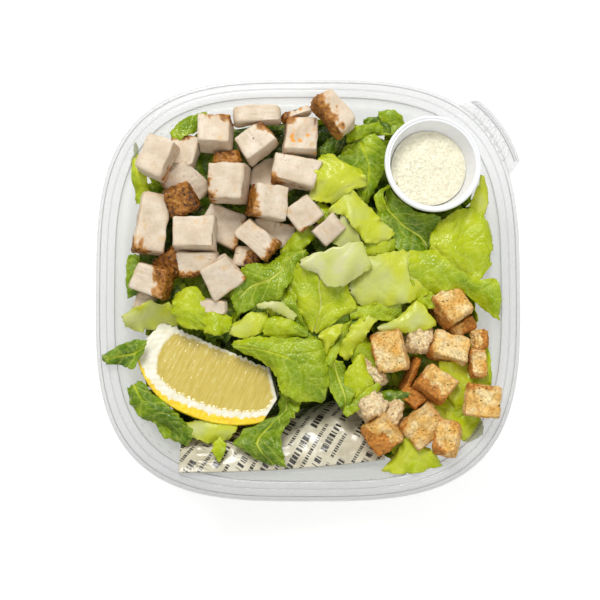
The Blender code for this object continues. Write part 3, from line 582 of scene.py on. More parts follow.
# The pieces that show. For each: places along its length (left x, y, height, right x, y, height),
# shade at the middle and at the rim (0 white rib, 0.3 yellow heart, 0.6 green, 0.9 dark), rib
# width, cup and ruffle.
SHOWN_LEAVES = (
    # folded heart leaf in the middle: its bright face and the pale flap turned over it
    ((((0, -19.5, 50), (5, -21, 50)), ((-5, -12, 51.5), (14.5, -13.7, 51.5)), ((-10.3, -6.5, 51.5), (22, -9.5, 51.2)),
     ((-8.5, 2, 52.5), (18.5, -1, 53)), ((-5, 11, 55), (16, 8, 54))), (0.43, 0.42), 0.3, -2.6, 0.7),
    ((((-3.8, 11.5, 56.6), (-2.5, 8, 56.6)), ((3, 15, 57.6), (4, 5.5, 57)), ((10, 16.6, 58), (8, 0.2, 56.6)),
     ((18.5, 19.4, 58), (16, 0, 56.8)), ((24.5, 19.8, 57.6), (23, 4.8, 57)), ((26.8, 13.6, 57), (28.5, 8, 56.6))),
     (0.03, 0.07), 0, -1.2, 0.1),
    # long leaf to the east: pale by its rib, green and blistered further out, its tip on the rim
    ((((17.5, 1, 51.5), (19, -4, 51)), ((24, 12, 52.5), (23.5, -8.5, 51)), ((32, 14.8, 53), (33, -8.8, 51.5)),
     ((44, 17, 53), (45, -7, 52)), ((54, 15, 52.5), (53, -3, 52))), (0.14, 0.22), 0, -2.6, 0.4),
    ((((45, 16.5, 53), (46, -5, 52)), ((58, 16.5, 53.5), (57, -3, 53)), ((66, 8.5, 53.8), (66, -1, 53)),
     ((78, 3, 53.2), (72, -4, 52)), ((84.5, 4, 52), (80, -11, 51)), ((87, -5, 51.5), (86, -15, 50.5))), (0.54, 0.42), 0, -1.5, 1.2),
    ((((55, 25, 50), (55, 14, 50)), ((61, 31, 51), (60, 7, 50.5)), ((70, 36, 50.5), (68, 2, 50.5)),
     ((79, 35, 49.5), (77, 3, 50)), ((83.5, 26, 49), (82.5, 10, 49.5))), (0.40, 0.36), 0, -2.0, 1.2),
    ((((73, 37, 47), (80, 32, 47)), ((76, 44, 48.5), (82, 40, 48)), ((78.5, 51, 48), (80.5, 50, 48))), (0.24, 0.28), 0, -0.5, 0.5),
    # green leaves below and beside the cup
    ((((37, 46, 46), (33, 40, 46)), ((43, 38, 47.5), (31, 31, 48.5)), ((51, 34, 47.5), (36, 22, 49)),
     ((60, 32, 47), (42, 15, 48.5)), ((58, 21, 46.5), (52, 15, 47))), (0.74, 0.66), 0.35, 1.2, 0.8),
    ((((41, 47, 49), (36, 47, 49)), ((35, 41, 51), (31, 40, 49)), ((37, 32, 49.5), (32, 32, 48.5))), (0.56, 0.50), 0, 1.2, 0.8),
    ((((30, 70, 48.5), (16, 65, 48.5)), ((36.5, 62, 49.5), (15, 60, 50)), ((35.5, 55, 49.5), (20, 54, 50)),
     ((31, 45, 48), (23, 47, 48)), ((26.5, 38, 47), (22, 41, 47))), (0.64, 0.60), 0.35, -2.4, 0.6),
    ((((5, 64, 46), (6, 59, 46)), ((11, 69, 47.5), (12, 60, 47)), ((19, 73, 46), (20, 65, 46))), (0.92, 0.84), 0, -1.0, 1.4),
    ((((17, 71, 47.5), (18, 66, 47.5)), ((28, 75, 50), (29, 69, 49.5)), ((37, 75.5, 49.5), (36, 69, 49)),
     ((43, 76, 48), (43, 71, 47.5))), (0.62, 0.50), 0, -1.0, 1.5),
    ((((32, 80, 50), (33, 76, 50)), ((38, 80.5, 51), (35, 72, 50)), ((43, 78, 50), (38, 69, 49.5)),
     ((45, 74, 49), (42, 70, 49))), (0.60, 0.54), 0, -0.8, 0.7),
    ((((25, 77, 47), (26, 71, 47)), ((32, 79, 48), (33, 72, 48)), ((38, 75, 47), (36, 69, 47))), (0.86, 0.76), 0, -0.5, 0.8),
    ((((18, 63, 48), (11, 57, 48)), ((26, 58, 48.5), (18, 50, 48.5)), ((31, 49, 47), (23, 44, 47))), (0.68, 0.60), 0, 0.8, 0.8),
    # yellow heart leaves north of the middle
    ((((0, 40, 51), (14, 37, 51)), ((2, 46, 53), (20, 43.5, 54)), ((1, 50, 54), (27, 46.5, 54)),
     ((4, 56, 53.5), (23.5, 54.5, 54)), ((5, 59.5, 52), (11, 59.5, 52))), (0.27, 0.24), 0, -1.8, 1.6),
    ((((10, 36, 52), (8, 33, 51.5)), ((18, 44.5, 53.5), (14, 33, 53)), ((24, 40, 54.5), (18, 30, 54)),
     ((29.5, 34.5, 54), (21, 25.5, 54)), ((35, 28.5, 53), (26, 20, 53)), ((39.5, 24, 51.5), (34, 19.5, 51.5))), (0.20, 0.24), 0, -1.8, 1.3),
    ((((18.5, 33, 51), (15.5, 33, 51)), ((22, 26, 52), (12, 26, 51)), ((24.5, 17, 51), (9, 20, 50.5))), (0.05, 0.10), 0, -0.8, 0.3),
    ((((20, 19, 48.5), (21, 12, 48.5)), ((30, 22, 50), (31, 12.5, 50)), ((39, 22, 49), (40, 14, 49))), (0.46, 0.40), 0, -0.8, 1.5),
    ((((-13, 17, 48), (-11, 11, 48)), ((-7, 24, 49.5), (-3, 16, 49.5)), ((0, 30, 48.5), (6, 26, 48.5))), (0.50, 0.46), 0, -0.8, 1.2),
    ((((4, 40, 48.5), (2, 33, 48.5)), ((12, 35, 49.5), (6, 26, 49.5)), ((16, 27, 48.5), (8, 20, 48.5))), (0.52, 0.46), 0, -0.8, 1.0),
    # west of the middle
    ((((0.5, 15.5, 52.5), (-3, 17.5, 51)), ((-4.5, 10.5, 53.5), (-12, 15.8, 50.5)), ((-8.5, 1.5, 53.5), (-17, 11.5, 52)),
     ((-12, -4.8, 52.5), (-23, 10.8, 53)), ((-22, -8.5, 51.5), (-29.5, 9, 52.5)), ((-32, -12.5, 50), (-35.5, -3, 50.5))),
     (0.64, 0.58), 0.3, -2.0, 0.5),
    ((((-5, 4, 49), (-14, 2, 49)), ((-5, -8, 50), (-13, -8, 50)), ((0, -19, 48.5), (-9, -17, 48.5))), (0.60, 0.54), 0.3, 0.8, 0.6),
    ((((-35, -16.5, 48), (-36.5, -21.5, 48)), ((-26, -11.5, 50), (-28, -23, 50)), ((-18.5, -11, 49.5), (-18, -19.5, 49))),
     (0.20, 0.26), 0, -1.0, 0.8),
    ((((-23, -7.3, 51.5), (-22, -9.3, 51.5)), ((-16, -6.3, 52.6), (-17, -9.8, 52)), ((-11, -7.3, 52.4), (-14, -11.5, 51.5)),
     ((-4.5, -13.3, 51), (-6.8, -15.2, 50.5))), (0.08, 0.12), 0, -0.5, 0.3),
    ((((-20.5, -16, 49.5), (-20, -22.5, 49.5)), ((-15, -12.5, 50.8), (-13, -23.8, 50.8)), ((-8, -14, 51), (-5, -23, 50.5)),
     ((-1.5, -18, 49.5), (-0.5, -21.5, 49.5))), (0.50, 0.46), 0, -1.2, 0.7),
    ((((-49, 0, 50.5), (-60, -2, 50.5)), ((-46.5, -5, 52.5), (-61, -7, 52)), ((-45.5, -12, 52.5), (-61.5, -12, 51.5)),
     ((-45, -19, 51), (-56, -19, 50.5))), (0.42, 0.38), 0, -1.8, 1.2),
    ((((-47, -12, 50), (-46.5, -20.5, 50)), ((-41, -10.5, 51.8), (-41, -21.5, 51)), ((-34, -13.5, 50), (-36, -20.5, 50))),
     (0.44, 0.40), 0, -1.0, 1.0),
    ((((-83.5, -13, 50.5), (-82, -18.5, 49.5)), ((-77, -8.5, 53), (-76, -20, 47)), ((-70, -7.5, 53), (-68, -17.5, 41)),
     ((-60.5, -9.5, 50), (-59, -15.5, 40))), (0.12, 0.18), 0, -1.2, 1.3),
    ((((-74, -29, 49.5), (-72, -23.5, 49.5)), ((-78, -36.5, 50.5), (-78, -23.5, 51)), ((-84, -35.5, 51), (-85, -26.5, 51.5)),
     ((-91, -34.5, 51), (-92, -30.5, 51.5))), (0.78, 0.74), 0.3, -0.8, 0.6),
    ((((-77, 15, 47), (-82, 15, 47)), ((-75, 6, 48.5), (-82.5, 6, 48)), ((-76, -4, 47), (-82, -4, 47))), (0.72, 0.66), 0, -0.8, 1.0),
    ((((-78, 66, 49.5), (-79.5, 65, 49.5)), ((-75, 54, 50), (-80, 53, 49.5)), ((-70, 38, 48), (-78, 38, 48))), (0.40, 0.44), 0.4, -0.8, 1.3),
    ((((-63, 71, 48.5), (-61, 66, 48.5)), ((-56, 77.5, 49.8), (-53, 70, 49.5)), ((-46, 80, 48.5), (-45, 75, 48.5))), (0.64, 0.60), 0, -0.8, 0.9),
    # big green leaf in front of the lemon and the ones round it
    ((((-34, -24.5, 50), (-33, -28, 50)), ((-25, -22.3, 52), (-24, -32, 51.5)), ((-14, -22.8, 53), (-17.5, -36, 52.5)),
     ((-4, -22.8, 53.5), (-14, -41, 53.5)), ((6, -24.5, 53), (-12, -47.5, 53)), ((9, -33, 53), (-4.5, -51.5, 52.5)),
     ((9.5, -44, 51.5), (6.5, -52, 50.5))), (0.58, 0.50), 0.3, -2.4, 0.8),
    ((((15.5, -16, 50.5), (8.3, -17, 50)), ((14.5, -21, 51.5), (4.8, -21.7, 51.5)), ((11, -26, 51), (6.5, -26, 51)),
     ((8.8, -30.5, 49.5), (7.2, -30.5, 49.5))), (0.27, 0.26), 0, -1.2, 1.0),
    ((((20, -14.5, 48.5), (14, -18, 48.5)), ((17, -24, 49.5), (10.5, -25, 49.5)), ((11, -35, 48.5), (7, -34, 48.5))), (0.50, 0.44), 0, -0.8, 0.6),
    ((((31.5, -14, 50.5), (25, -12, 50.5)), ((27.5, -20, 52.3), (19.8, -16.5, 52)), ((22.8, -26.5, 52), (16.2, -23.5, 52)),
     ((17.2, -33.5, 50), (12.5, -29, 50))), (0.24, 0.30), 0, -1.2, 1.3),
    ((((32, -17, 50), (32, -19.8, 50)), ((41, -13.2, 51.5), (42, -20.8, 51.5)), ((48, -5.5, 52), (50, -20, 51.5)),
     ((52.5, -7.5, 51), (57.5, -18, 50.5))), (0.14, 0.24), 0, -1.6, 0.6),
    ((((18, -7, 48.5), (19, -14, 48.5)), ((30, -7, 49.5), (29, -15, 49.5)), ((43, -5, 48.5), (42, -15, 48.5))), (0.50, 0.42), 0, -0.6, 1.5),
    ((((47, -3, 49), (49, -9, 49)), ((56, -2, 50.5), (58, -10, 50.5)), ((64, -1, 49), (66, -7, 49))), (0.50, 0.44), 0, -0.6, 1.4),
    ((((15, -34, 48), (8, -32, 48)), ((20, -40, 49.5), (7.5, -42, 49.5)), ((21, -47, 49), (12, -50.5, 49)),
     ((18, -54, 48), (15, -54, 48))), (0.62, 0.58), 0.35, 1.0, 0.6),
    ((((24, -19, 47), (16, -21, 47)), ((31, -29, 48), (19, -31, 48)), ((32, -42, 47), (23, -43, 47))), (0.48, 0.48), 0, -1.0, 1.0),
    ((((24.5, -29.5, 49.5), (21.5, -30.5, 49.5)), ((27.5, -38, 51), (16.8, -38, 51)), ((29.5, -43.5, 51), (16.2, -44.5, 50.5)),
     ((23.5, -48.5, 49.5), (19.5, -49.5, 49.5))), (0.36, 0.38), 0, -1.4, 0.9),
    ((((33.2, -45, 50.5), (30.5, -42.5, 50.5)), ((28.2, -50, 51.5), (24, -46.2, 51.8)), ((21.8, -55.5, 51), (18, -51, 51)),
     ((17.2, -58.5, 50), (15.6, -55, 50))), (0.50, 0.46), 0, -0.9, 0.7),
    ((((33, -47, 46), (33, -51, 46)), ((39, -46, 47), (39, -53, 47)), ((46, -47, 46), (45, -51, 46))), (0.86, 0.76), 0, -0.6, 1.0),
    ((((-4.5, -50, 49), (-13.5, -47, 41)), ((-4.5, -56.5, 50.5), (-14.5, -56, 44)), ((-10.5, -61.5, 51.5), (-28, -64, 48.5)),
     ((-12, -70, 52.5), (-33.5, -70, 52)), ((-9.5, -81, 51), (-21, -78.5, 51))), (0.74, 0.66), 0.35, -1.8, 1.2),
    ((((-39.5, -66.5, 53), (-43, -70, 52.5)), ((-36, -70.5, 53.4), (-42.5, -73.5, 53)), ((-39, -77.5, 52.8), (-40.5, -77.5, 52.8))),
     (0.42, 0.40), 0, -0.6, 0.5),
    ((((-56, -60.5, 46), (-55, -66.5, 46)), ((-45, -59.5, 48), (-46, -70, 48)), ((-31, -61.5, 47), (-35, -68.5, 47))), (0.16, 0.26), 0, -1.2, 0.8),
    # dark outer leaves in the corner by the lemon
    ((((-75, -42, 48), (-81.5, -45, 48)), ((-70, -47, 49), (-79.5, -53, 49)), ((-62, -53, 49), (-74, -59.5, 48.5)),
     ((-55, -60, 48), (-65, -62.5, 47.5)), ((-52.5, -67, 46.5), (-57, -70.5, 46))), (0.78, 0.72), 0.3, -1.2, 1.5),
    ((((-64, -56, 46), (-70, -60, 46)), ((-58, -60, 47), (-64, -68, 46.5)), ((-50, -64, 46), (-54, -71, 45.5))), (0.68, 0.60), 0, -0.6, 1.4),
    # pale green leaves under the croutons and in the south-east
    ((((34, -80, 49.6), (33, -82.7, 49.6)), ((40, -73, 51), (40, -83.7, 51)), ((44, -66, 51), (50, -82.7, 51.5)),
     ((54.5, -72, 50.5), (60, -79.5, 50.5))), (0.30, 0.34), 0, -1.6, 1.0),
    ((((48, -62, 45), (34, -64, 45)), ((52, -70, 47.5), (36, -71, 47.5)), ((51, -78, 47.5), (40, -78, 47.5))), (0.40, 0.42), 0, 0.8, 0.9),
    ((((72, -33, 46.5), (59, -34, 46.5)), ((78, -45, 48), (62, -46, 48)), ((79, -57, 47.5), (67, -58, 47.5))), (0.36, 0.34), 0, -1.0, 1.1),
    ((((64, -48, 45.5), (53, -52, 45.5)), ((70, -56, 47), (58, -59, 47)), ((71, -66, 46), (61, -67, 46))), (0.40, 0.38), 0, -1.0, 1.1),
    ((((62, -55, 46.5), (62, -64, 46.5)), ((72, -57, 48), (72, -70, 48)), ((78, -58, 48.5), (78.5, -66, 48.5))), (0.34, 0.38), 0, -1.0, 1.0),
    ((((80, -20, 46.5), (73, -20, 46.5)), ((83, -38, 47.8), (75, -38, 47.8)), ((81, -52, 46.5), (75, -52, 46.5))), (0.40, 0.44), 0, -0.6, 1.0),
)
shown = []
for number, (places, *look) in enumerate(SHOWN_LEAVES):
    left, right = zip(*places)
    over, under, *rest = blade(left, right, *look, 1000 + 20 * number)
    shown.append((kept_inside(over, 1.8), kept_inside(under, 1.4), *rest))
for part, (first, last) in enumerate(((0, 7), (7, 22), (22, 36), (36, len(shown)))):
    add_piece(f"romaine_leaves_{part + 1}", blades_mesh(shown[first:last]), romaine_leaf, "romaine")

# The lowest level of the leaves that show, over each square millimetre of the plan.
ceiling = np.full((220, 220), 99.0)
for over, under, *_ in shown:
    cell = np.round(under[..., :2]).astype(int) + 110
    np.minimum.at(ceiling, (cell[..., 0].ravel(), cell[..., 1].ravel()), under[..., 2].ravel())


def kept_below(points, gap):
    """Points brought down to lie under the leaves that show, so much below their lowest level."""
    cell = np.clip(np.round(points[..., :2]).astype(int) + 110, 1, 218)
    low = np.minimum.reduce([ceiling[cell[..., 0] + i, cell[..., 1] + j] for i in (-1, 0, 1) for j in (-1, 0, 1)])
    return np.concatenate([points[..., :2], np.minimum(points[..., 2], low - gap)[..., None]], axis=-1)


# Pieces lower in the heap: scattered over it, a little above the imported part.
rng = np.random.default_rng(77)
buried = []
while len(buried) < 170:
    x, y = rng.uniform(-76, 76, 2)
    heading, length, width = rng.uniform(0, 2 * np.pi), rng.uniform(15, 27), rng.uniform(6, 10.5)
    step = 0.5 * length * np.array([math.cos(heading), math.sin(heading)])
    spots = np.array([(x, y) - step, (x, y), (x, y) + step])
    half_x, half_y = wall_half(42.0, 5.0)
    inside = (np.abs(spots[:, 0]) / half_x) ** 3.5 + (np.abs(spots[:, 1]) / half_y) ** 3.5 < 0.93
    levels = heap_level(spots[:, 0], spots[:, 1]) - rng.uniform(-1.6, 2.0)
    low_corner = x < -45 and y < -55
    if not inside.all() or levels.min() < 24.0 or low_corner or np.ptp(levels) > 9.0:
        continue
    spine = np.column_stack([spots, levels + (0.0, 0.8, 0.0)])
    tone = rng.uniform(0.36, 0.84) + 0.28 * (x < 12.0 and y > 2.0)  # painted shade: darker below the chicken, where little light reaches
    sides = beside(spine, (width * 0.6, width, width * 0.5), rng.uniform(-15, 15))
    over, under, *rest = blade(*sides, (tone, tone - 0.08), 0, rng.uniform(-1.5, 1.0), 1.2, 4000 + 20 * len(buried), 1.35)
    over = kept_below(over, 0.4 + LEAF_THICKNESS)
    buried.append((kept_inside(over, 2.4), kept_inside(over - (0.0, 0.0, LEAF_THICKNESS), 2.0), *rest))
add_piece("romaine_under_leaves_1", blades_mesh(buried[:85]), romaine_leaf, "romaine")
add_piece("romaine_under_leaves_2", blades_mesh(buried[85:]), romaine_leaf, "romaine")

# Pieces pressed against the wall, seen through it: each is laid out flat beside the wall, then
# wrapped on it, so many millimetres round it and so many up it.
dense = np.linspace(0.0, 2.0 * np.pi, 2001)
round_x, round_y = rounded_square(dense, *wall_half(30.0, 0.0), INNER_SQUARENESS)
travel = np.concatenate([[0.0], np.cumsum(np.hypot(np.diff(round_x), np.diff(round_y)))])


def wrapped(points):
    """Carries flat places to the wall: x goes round it, y up it and z inwards from it."""
    height = np.clip(points[..., 1], FLOOR_TOP + 1.0, LEDGE_TOP)
    half_x, half_y = wall_half(height, 0.9)
    x, y = rounded_square(np.interp(points[..., 0] % travel[-1], travel, dense), half_x, half_y, INNER_SQUARENESS)
    inward = 1.0 - np.maximum(points[..., 2], 0.0) / np.hypot(x, y)
    return np.stack([x * inward, y * inward, height], axis=-1)


pressed = []
for number in range(84):
    around = travel[-1] * (number % 42 + rng.uniform(-0.4, 0.4)) / 42.0
    level = rng.uniform(6.0, 16.0) if number < 42 else rng.uniform(22.0, 33.0)
    heading, length, width = rng.uniform(-0.9, 0.9), rng.uniform(15, 22), rng.uniform(6, 9)
    step = 0.5 * length * np.array([math.sin(heading), math.cos(heading)])
    spine = np.array([(around - step[0], level - step[1], 1.0), (around, level, 1.6), (around + step[0], level + step[1], 1.2)])
    tone = rng.uniform(0.30, 0.75)
    sides = beside(spine, (width * 0.6, width, width * 0.5), 0.0)
    over, under, shade, vein, skin = blade(*sides, (tone - 0.08, tone), 0, rng.uniform(-0.8, 0.8), 0.9, 8000 + 20 * number, 1.6)
    pressed.append((wrapped(under + (0, 0, LEAF_THICKNESS)), wrapped(over + (0, 0, LEAF_THICKNESS)), shade, vein, skin))
add_piece("romaine_wall_leaves", blades_mesh(pressed), romaine_leaf, "romaine")

# ---------------------------------------------------------------------------------------------
# Chicken: grilled breast diced by hand. Pale meat with a fine grain running one way through
# each dice, small splits painted dark as the shade inside them, and the seared, peppered outside of the breast on some
# faces.
# ---------------------------------------------------------------------------------------------

CHICKEN_COUNT, CROUTON_COUNT = 29, 17
DICE_CELLS = 21
PRESSED_AREA = 12.0 * MM * MM
PRESSED_IN, FACE_SWELL = 2.2, 0.35

# Seared dice: the way the seared side faces, in degrees of the plan, and where searing starts
# from the middle (0) to that side (1).
SEARED = {
    1: (330, 0.93), 2: (95, 0.66), 3: (75, 0.86), 4: (250, 0.90), 5: (60, 0.82), 6: (120, 0.80), 7: (200, 0.72),
    8: (205, -0.15), 9: (230, 0.82), 10: (195, 0.90), 12: (183, 0.42), 13: (215, 0.82), 14: (200, -1.6),
    15: (225, 0.78), 16: (330, 0.9), 18: (262, 0.55), 19: (225, -1.4), 20: (5, 0.12), 21: (270, 0.3),
    22: (330, 0.80), 23: (60, 0.75), 24: (300, 0.93), 26: (15, 0.93), 28: (330, 0.0), 29: (90, -1.2),
}


def cube_grid(cells):
    """Points over a cube of half size 1, each side a grid spaced evenly in angle, edges shared."""
    line = np.tan(np.linspace(-1.0, 1.0, cells + 1) * math.pi / 4.0)
    u, v = np.meshgrid(line, line, indexing="ij")
    index = np.arange((cells + 1) ** 2).reshape(cells + 1, cells + 1)
    points, faces = [], []
    for axis in range(3):
        for sign in (-1.0, 1.0):
            faces.append(grid_quads(index) + len(points) * (cells + 1) ** 2)
            columns = [u.ravel(), v.ravel()]
            columns.insert(axis, np.full(u.size, sign))
            points.append(np.column_stack(columns))
    points, same = np.unique(np.round(np.concatenate(points), 6), axis=0, return_inverse=True)
    return points, same.ravel()[np.concatenate(faces)]


def node_planes(name):
    """Middle of a CAD block, its faces' outward normals and their distances from the middle, and
    its own axes: across, along and up, with half its size along each."""
    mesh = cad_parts[name].data
    points = np.empty(len(mesh.vertices) * 3)
    mesh.vertices.foreach_get("co", points)
    points = points.reshape(-1, 3) / MM
    middle = (points.min(axis=0) + points.max(axis=0)) / 2.0
    normals, offsets, areas = [], [], []
    for face in sorted(mesh.polygons, key=lambda face: -face.area):
        normal = np.array(face.normal)
        offset = normal @ (np.array(face.center) / MM - middle)
        known = [i for i, other in enumerate(normals) if other @ normal > 0.999]
        if known:
            areas[known[0]] += face.area
        else:
            normals.append(normal)
            offsets.append(max(offset, 0.5))
            areas.append(face.area)
    normals, areas = np.array(normals), np.array(areas)
    up = normals[np.argmax(areas * (normals[:, 2] > 0.85))]
    side = normals[np.argmax(areas * (np.abs(normals @ up) < 0.4))]
    side = side - up * (side @ up)
    side /= np.linalg.norm(side)
    axes = np.array([side, np.cross(up, side), up])
    reach = (points - middle) @ axes.T
    # Faces that run askew are where a neighbour presses on this block: it goes on a little beneath it.
    askew = (np.abs(normals @ axes.T).max(axis=1) < 0.93) & (areas > PRESSED_AREA)
    offsets = np.array(offsets) + np.where(askew, PRESSED_IN, FACE_SWELL)
    return middle, normals, offsets, axes, np.abs(reach).max(axis=0)


def rounded_block(grid, planes, hardness):
    """Points where a ray from the middle meets the block's rounded surface: the inverse of the
    p-norm of each face's share (n.d / distance). Also its normals and how near an edge each is."""
    middle, normals, offsets, axes, half = planes
    way = (grid * half) @ axes
    way /= np.linalg.norm(way, axis=1, keepdims=True)
    share = np.maximum(way @ normals.T / offsets, 0.0)
    largest = share.max(axis=1, keepdims=True)
    terms = (share / largest) ** hardness
    reach = 1.0 / (largest[:, 0] * terms.sum(axis=1) ** (1.0 / hardness))
    weight = terms / terms.sum(axis=1, keepdims=True)
    facing = (weight / offsets) @ normals
    facing /= np.linalg.norm(facing, axis=1, keepdims=True)
    edge = 1.0 - np.clip((weight.max(axis=1) - 0.45) / 0.5, 0.0, 1.0)
    return middle + way * reach[:, None], facing, edge


def sear_share(points, planes, towards, start, seed):
    """0 on plain meat to 1 on the seared side, with a ragged limit."""
    middle, half = planes[0], planes[4]
    way = np.array([math.cos(math.radians(towards)), math.sin(math.radians(towards)), 0.0])
    away = (points - middle) @ way / half[:2].mean()
    ragged = 0.10 * ripples(points, 5.0, seed) + 0.05 * ripples(points, 1.8, seed + 1)
    return np.clip((away - start + ragged) / 0.16, 0.0, 1.0)


def mottle_group():
    """Shared effect: a broad and a fine unevenness of colour, and small dark flecks."""
    group = bpy.data.node_groups.new("mottle", "ShaderNodeTree")
    for name, kind in (("Place", "NodeSocketVector"), ("Broad", "NodeSocketFloat"), ("Fine", "NodeSocketFloat"),
                       ("Flecks", "NodeSocketFloat"), ("Fleck Size", "NodeSocketFloat")):
        group.interface.new_socket(name, in_out="INPUT", socket_type=kind)
    for name in ("Broad", "Fine", "Fleck"):
        group.interface.new_socket(name, in_out="OUTPUT", socket_type="NodeSocketFloat")
    given = group.nodes.new("NodeGroupInput")
    result = group.nodes.new("NodeGroupOutput")
    broad = noise(group, given.outputs["Place"], given.outputs["Broad"], 3.0)
    fine = noise(group, given.outputs["Place"], given.outputs["Fine"], 4.0, 0.6)
    warped = node(group, "VectorMath", {"operation": "MULTIPLY_ADD"}, _0=node(
        group, "TexNoise", Vector=given.outputs["Place"], Scale=900.0).outputs["Color"],
        _1=(0.0007, 0.0007, 0.0007), _2=given.outputs["Place"]).outputs[0]
    cells = node(group, "TexVoronoi", Vector=warped, Scale=given.outputs["Flecks"])
    chosen = node(group, "SeparateColor", _0=cells.outputs["Color"]).outputs[0]
    near = calculate(group, "LESS_THAN", cells.outputs["Distance"], given.outputs["Fleck Size"])
    fleck = calculate(group, "MULTIPLY", near, calculate(group, "GREATER_THAN", chosen, 0.55))
    for name, output in (("Broad", broad), ("Fine", fine), ("Fleck", fleck)):
        group.links.new(output, result.inputs[name])
    return group


def mottle(tree, vector, broad, fine, flecks, fleck_size):
    made = tree.nodes.new("ShaderNodeGroup")
    made.node_tree = mottle_tree
    tree.links.new(vector, made.inputs["Place"])
    for name, value in (("Broad", broad), ("Fine", fine), ("Flecks", flecks), ("Fleck Size", fleck_size)):
        made.inputs[name].default_value = value
    return made.outputs


mottle_tree = mottle_group()
dice_grid, dice_faces = cube_grid(DICE_CELLS)

chicken_meat, tree, shader = new_material(
    "chicken_meat", Roughness=0.50, Subsurface_Weight=0.12, Subsurface_Scale=0.002,
    Subsurface_Radius=(1.0, 0.55, 0.35), Specular_IOR_Level=0.4,
)
inside = node(tree, "Attribute", {"attribute_name": "inside"}).outputs["Vector"]
stretched = node(tree, "VectorMath", {"operation": "MULTIPLY"}, _0=inside, _1=(1.0, 0.16, 1.0)).outputs[0]
seared, spots = attribute(tree, "seared"), attribute(tree, "spots")
patches = mottle(tree, place(tree), 130.0, 620.0, 420.0, 0.20)
fibres = noise(tree, stretched, 1100.0, 4.0, 0.65)
meat = ramp(tree, patches["Broad"], (0.30, paint(206, 186, 158)), (0.55, paint(220, 204, 180)), (0.75, paint(229, 215, 195)))
meat = mix_colours(tree, calculate(tree, "MULTIPLY", step_up(tree, patches["Fine"], 0.52, 0.72), 0.7), meat, paint(198, 176, 148))
meat = mix_colours(tree, calculate(tree, "MULTIPLY", step_up(tree, fibres, 0.58, 0.78), 0.3), meat, paint(188, 162, 136))
# Painted shade: thin dark brown lines along the grain, the shade inside small splits.
painted_split_shade = step_up(tree, noise(tree, stretched, 330.0, 2.0), 0.69, 0.73)
meat = mix_colours(tree, calculate(tree, "MULTIPLY", painted_split_shade, 0.8), meat, paint(122, 76, 48))
oily = step_up(tree, noise(tree, place(tree), 190.0, 3.0, 0.6), 0.60, 0.70)
meat = mix_colours(tree, calculate(tree, "MULTIPLY", oily, 0.55), meat, paint(214, 174, 112))
golden = calculate(tree, "MULTIPLY", attribute(tree, "rim"), step_up(tree, noise(tree, place(tree), 150.0, 3.0), 0.42, 0.60))
meat = mix_colours(tree, calculate(tree, "MULTIPLY", golden, 0.6), meat, paint(196, 148, 92))
season = calculate(tree, "MULTIPLY", spots, step_up(tree, noise(tree, place(tree), 360.0, 3.0), 0.60, 0.68))
meat = mix_colours(tree, season, meat, paint(232, 154, 30))
crust_value = calculate(tree, "ADD", calculate(tree, "MULTIPLY", patches["Fine"], 0.6), calculate(tree, "MULTIPLY", patches["Broad"], 0.4))
crust = ramp(
    tree, crust_value, (0.32, paint(40, 24, 8)), (0.41, paint(92, 54, 14)),
    (0.49, paint(148, 92, 26)), (0.58, paint(180, 122, 46)), (0.70, paint(208, 164, 100)),
)
crust = mix_colours(tree, patches["Fleck"], crust, paint(24, 15, 8))
meat = mix_colours(tree, calculate(tree, "MULTIPLY", patches["Fleck"], step_up(tree, patches["Broad"], 0.62, 0.70)), meat, paint(120, 84, 60))
meat = mix_colours(tree, calculate(tree, "MULTIPLY", step_up(tree, seared, 0.0, 0.5), 0.85), meat, paint(196, 142, 74))
attach(tree, mix_colours(tree, step_up(tree, seared, 0.35, 1.0), meat, crust), shader, "Base Color")
height = calculate(tree, "ADD", calculate(tree, "MULTIPLY", fibres, 0.6), calculate(tree, "MULTIPLY", patches["Fine"], seared))
attach(tree, bump(tree, height, 0.0004, 0.6), shader, "Normal")

for number in range(1, CHICKEN_COUNT + 1):
    planes = node_planes(f"chicken_{number:02d}")
    points, facing, edge = rounded_block(dice_grid, planes, 44.0)
    middle, axes, half = planes[0], planes[3], planes[4]
    local = (points - middle) @ axes.T
    if number % 2:
        local = local[:, [1, 0, 2]]
    fibre_place = local * (1.0, 0.16, 1.0)
    towards, start = SEARED.get(number, (0, 9.0))
    sear = sear_share(points, planes, towards, start, 300 + number)
    relief = 0.24 * ripples(local, 10.0, number) + 0.055 * ripples(fibre_place, 1.3, 50 + number)
    relief -= 0.35 * np.clip(ripples(fibre_place, 3.4, 90 + number) - 1.9, 0.0, 0.8)
    relief += sear * 0.20 * ripples(local, 2.0, 130 + number)
    relief -= 0.16 * edge * np.abs(ripples(local, 3.0, 170 + number)) - 0.12 * edge * ripples(local, 1.0, 190 + number)
    dice_mesh = mesh_of(points + facing * relief[:, None], [dice_faces])
    vector_attribute(dice_mesh, "inside", local + (40.0 * number, 0.0, 0.0))
    add_attribute(dice_mesh, "seared", sear)
    add_attribute(dice_mesh, "rim", edge)
    add_attribute(dice_mesh, "spots", np.full(len(points), 1.0 if number in (6, 7) else 0.0))
    record_slot = "browned_chicken" if number in (8, 14, 19, 28, 29) else "chicken_breast"
    add_piece(f"chicken_dice_{number:02d}", dice_mesh, chicken_meat, record_slot, f"chicken_{number:02d}")

# ---------------------------------------------------------------------------------------------
# Croutons: cubes of white bread, tossed in oil and dried herbs and baked. Open crumb with small
# holes, browner at the corners and on the sides that lay on the tray; some are torn and paler.
# ---------------------------------------------------------------------------------------------

CROUTON_CELLS = 22
# Browned side: the way it faces in degrees of the plan, and where it starts (0 middle, 1 side).
BROWNED_SIDES = {
    1: (215, 0.55), 2: (0, -0.2), 3: (180, 0.70), 5: (200, 0.85), 7: (190, 0.4), 9: (0, -3.0), 10: (222, -0.02),
    6: (0, 0.0), 11: (0, -3.0), 12: (100, 0.7), 15: (150, 0.75), 16: (250, 0.0), 17: (200, 0.55),
}
TORN = (4, 8, 13, 14)

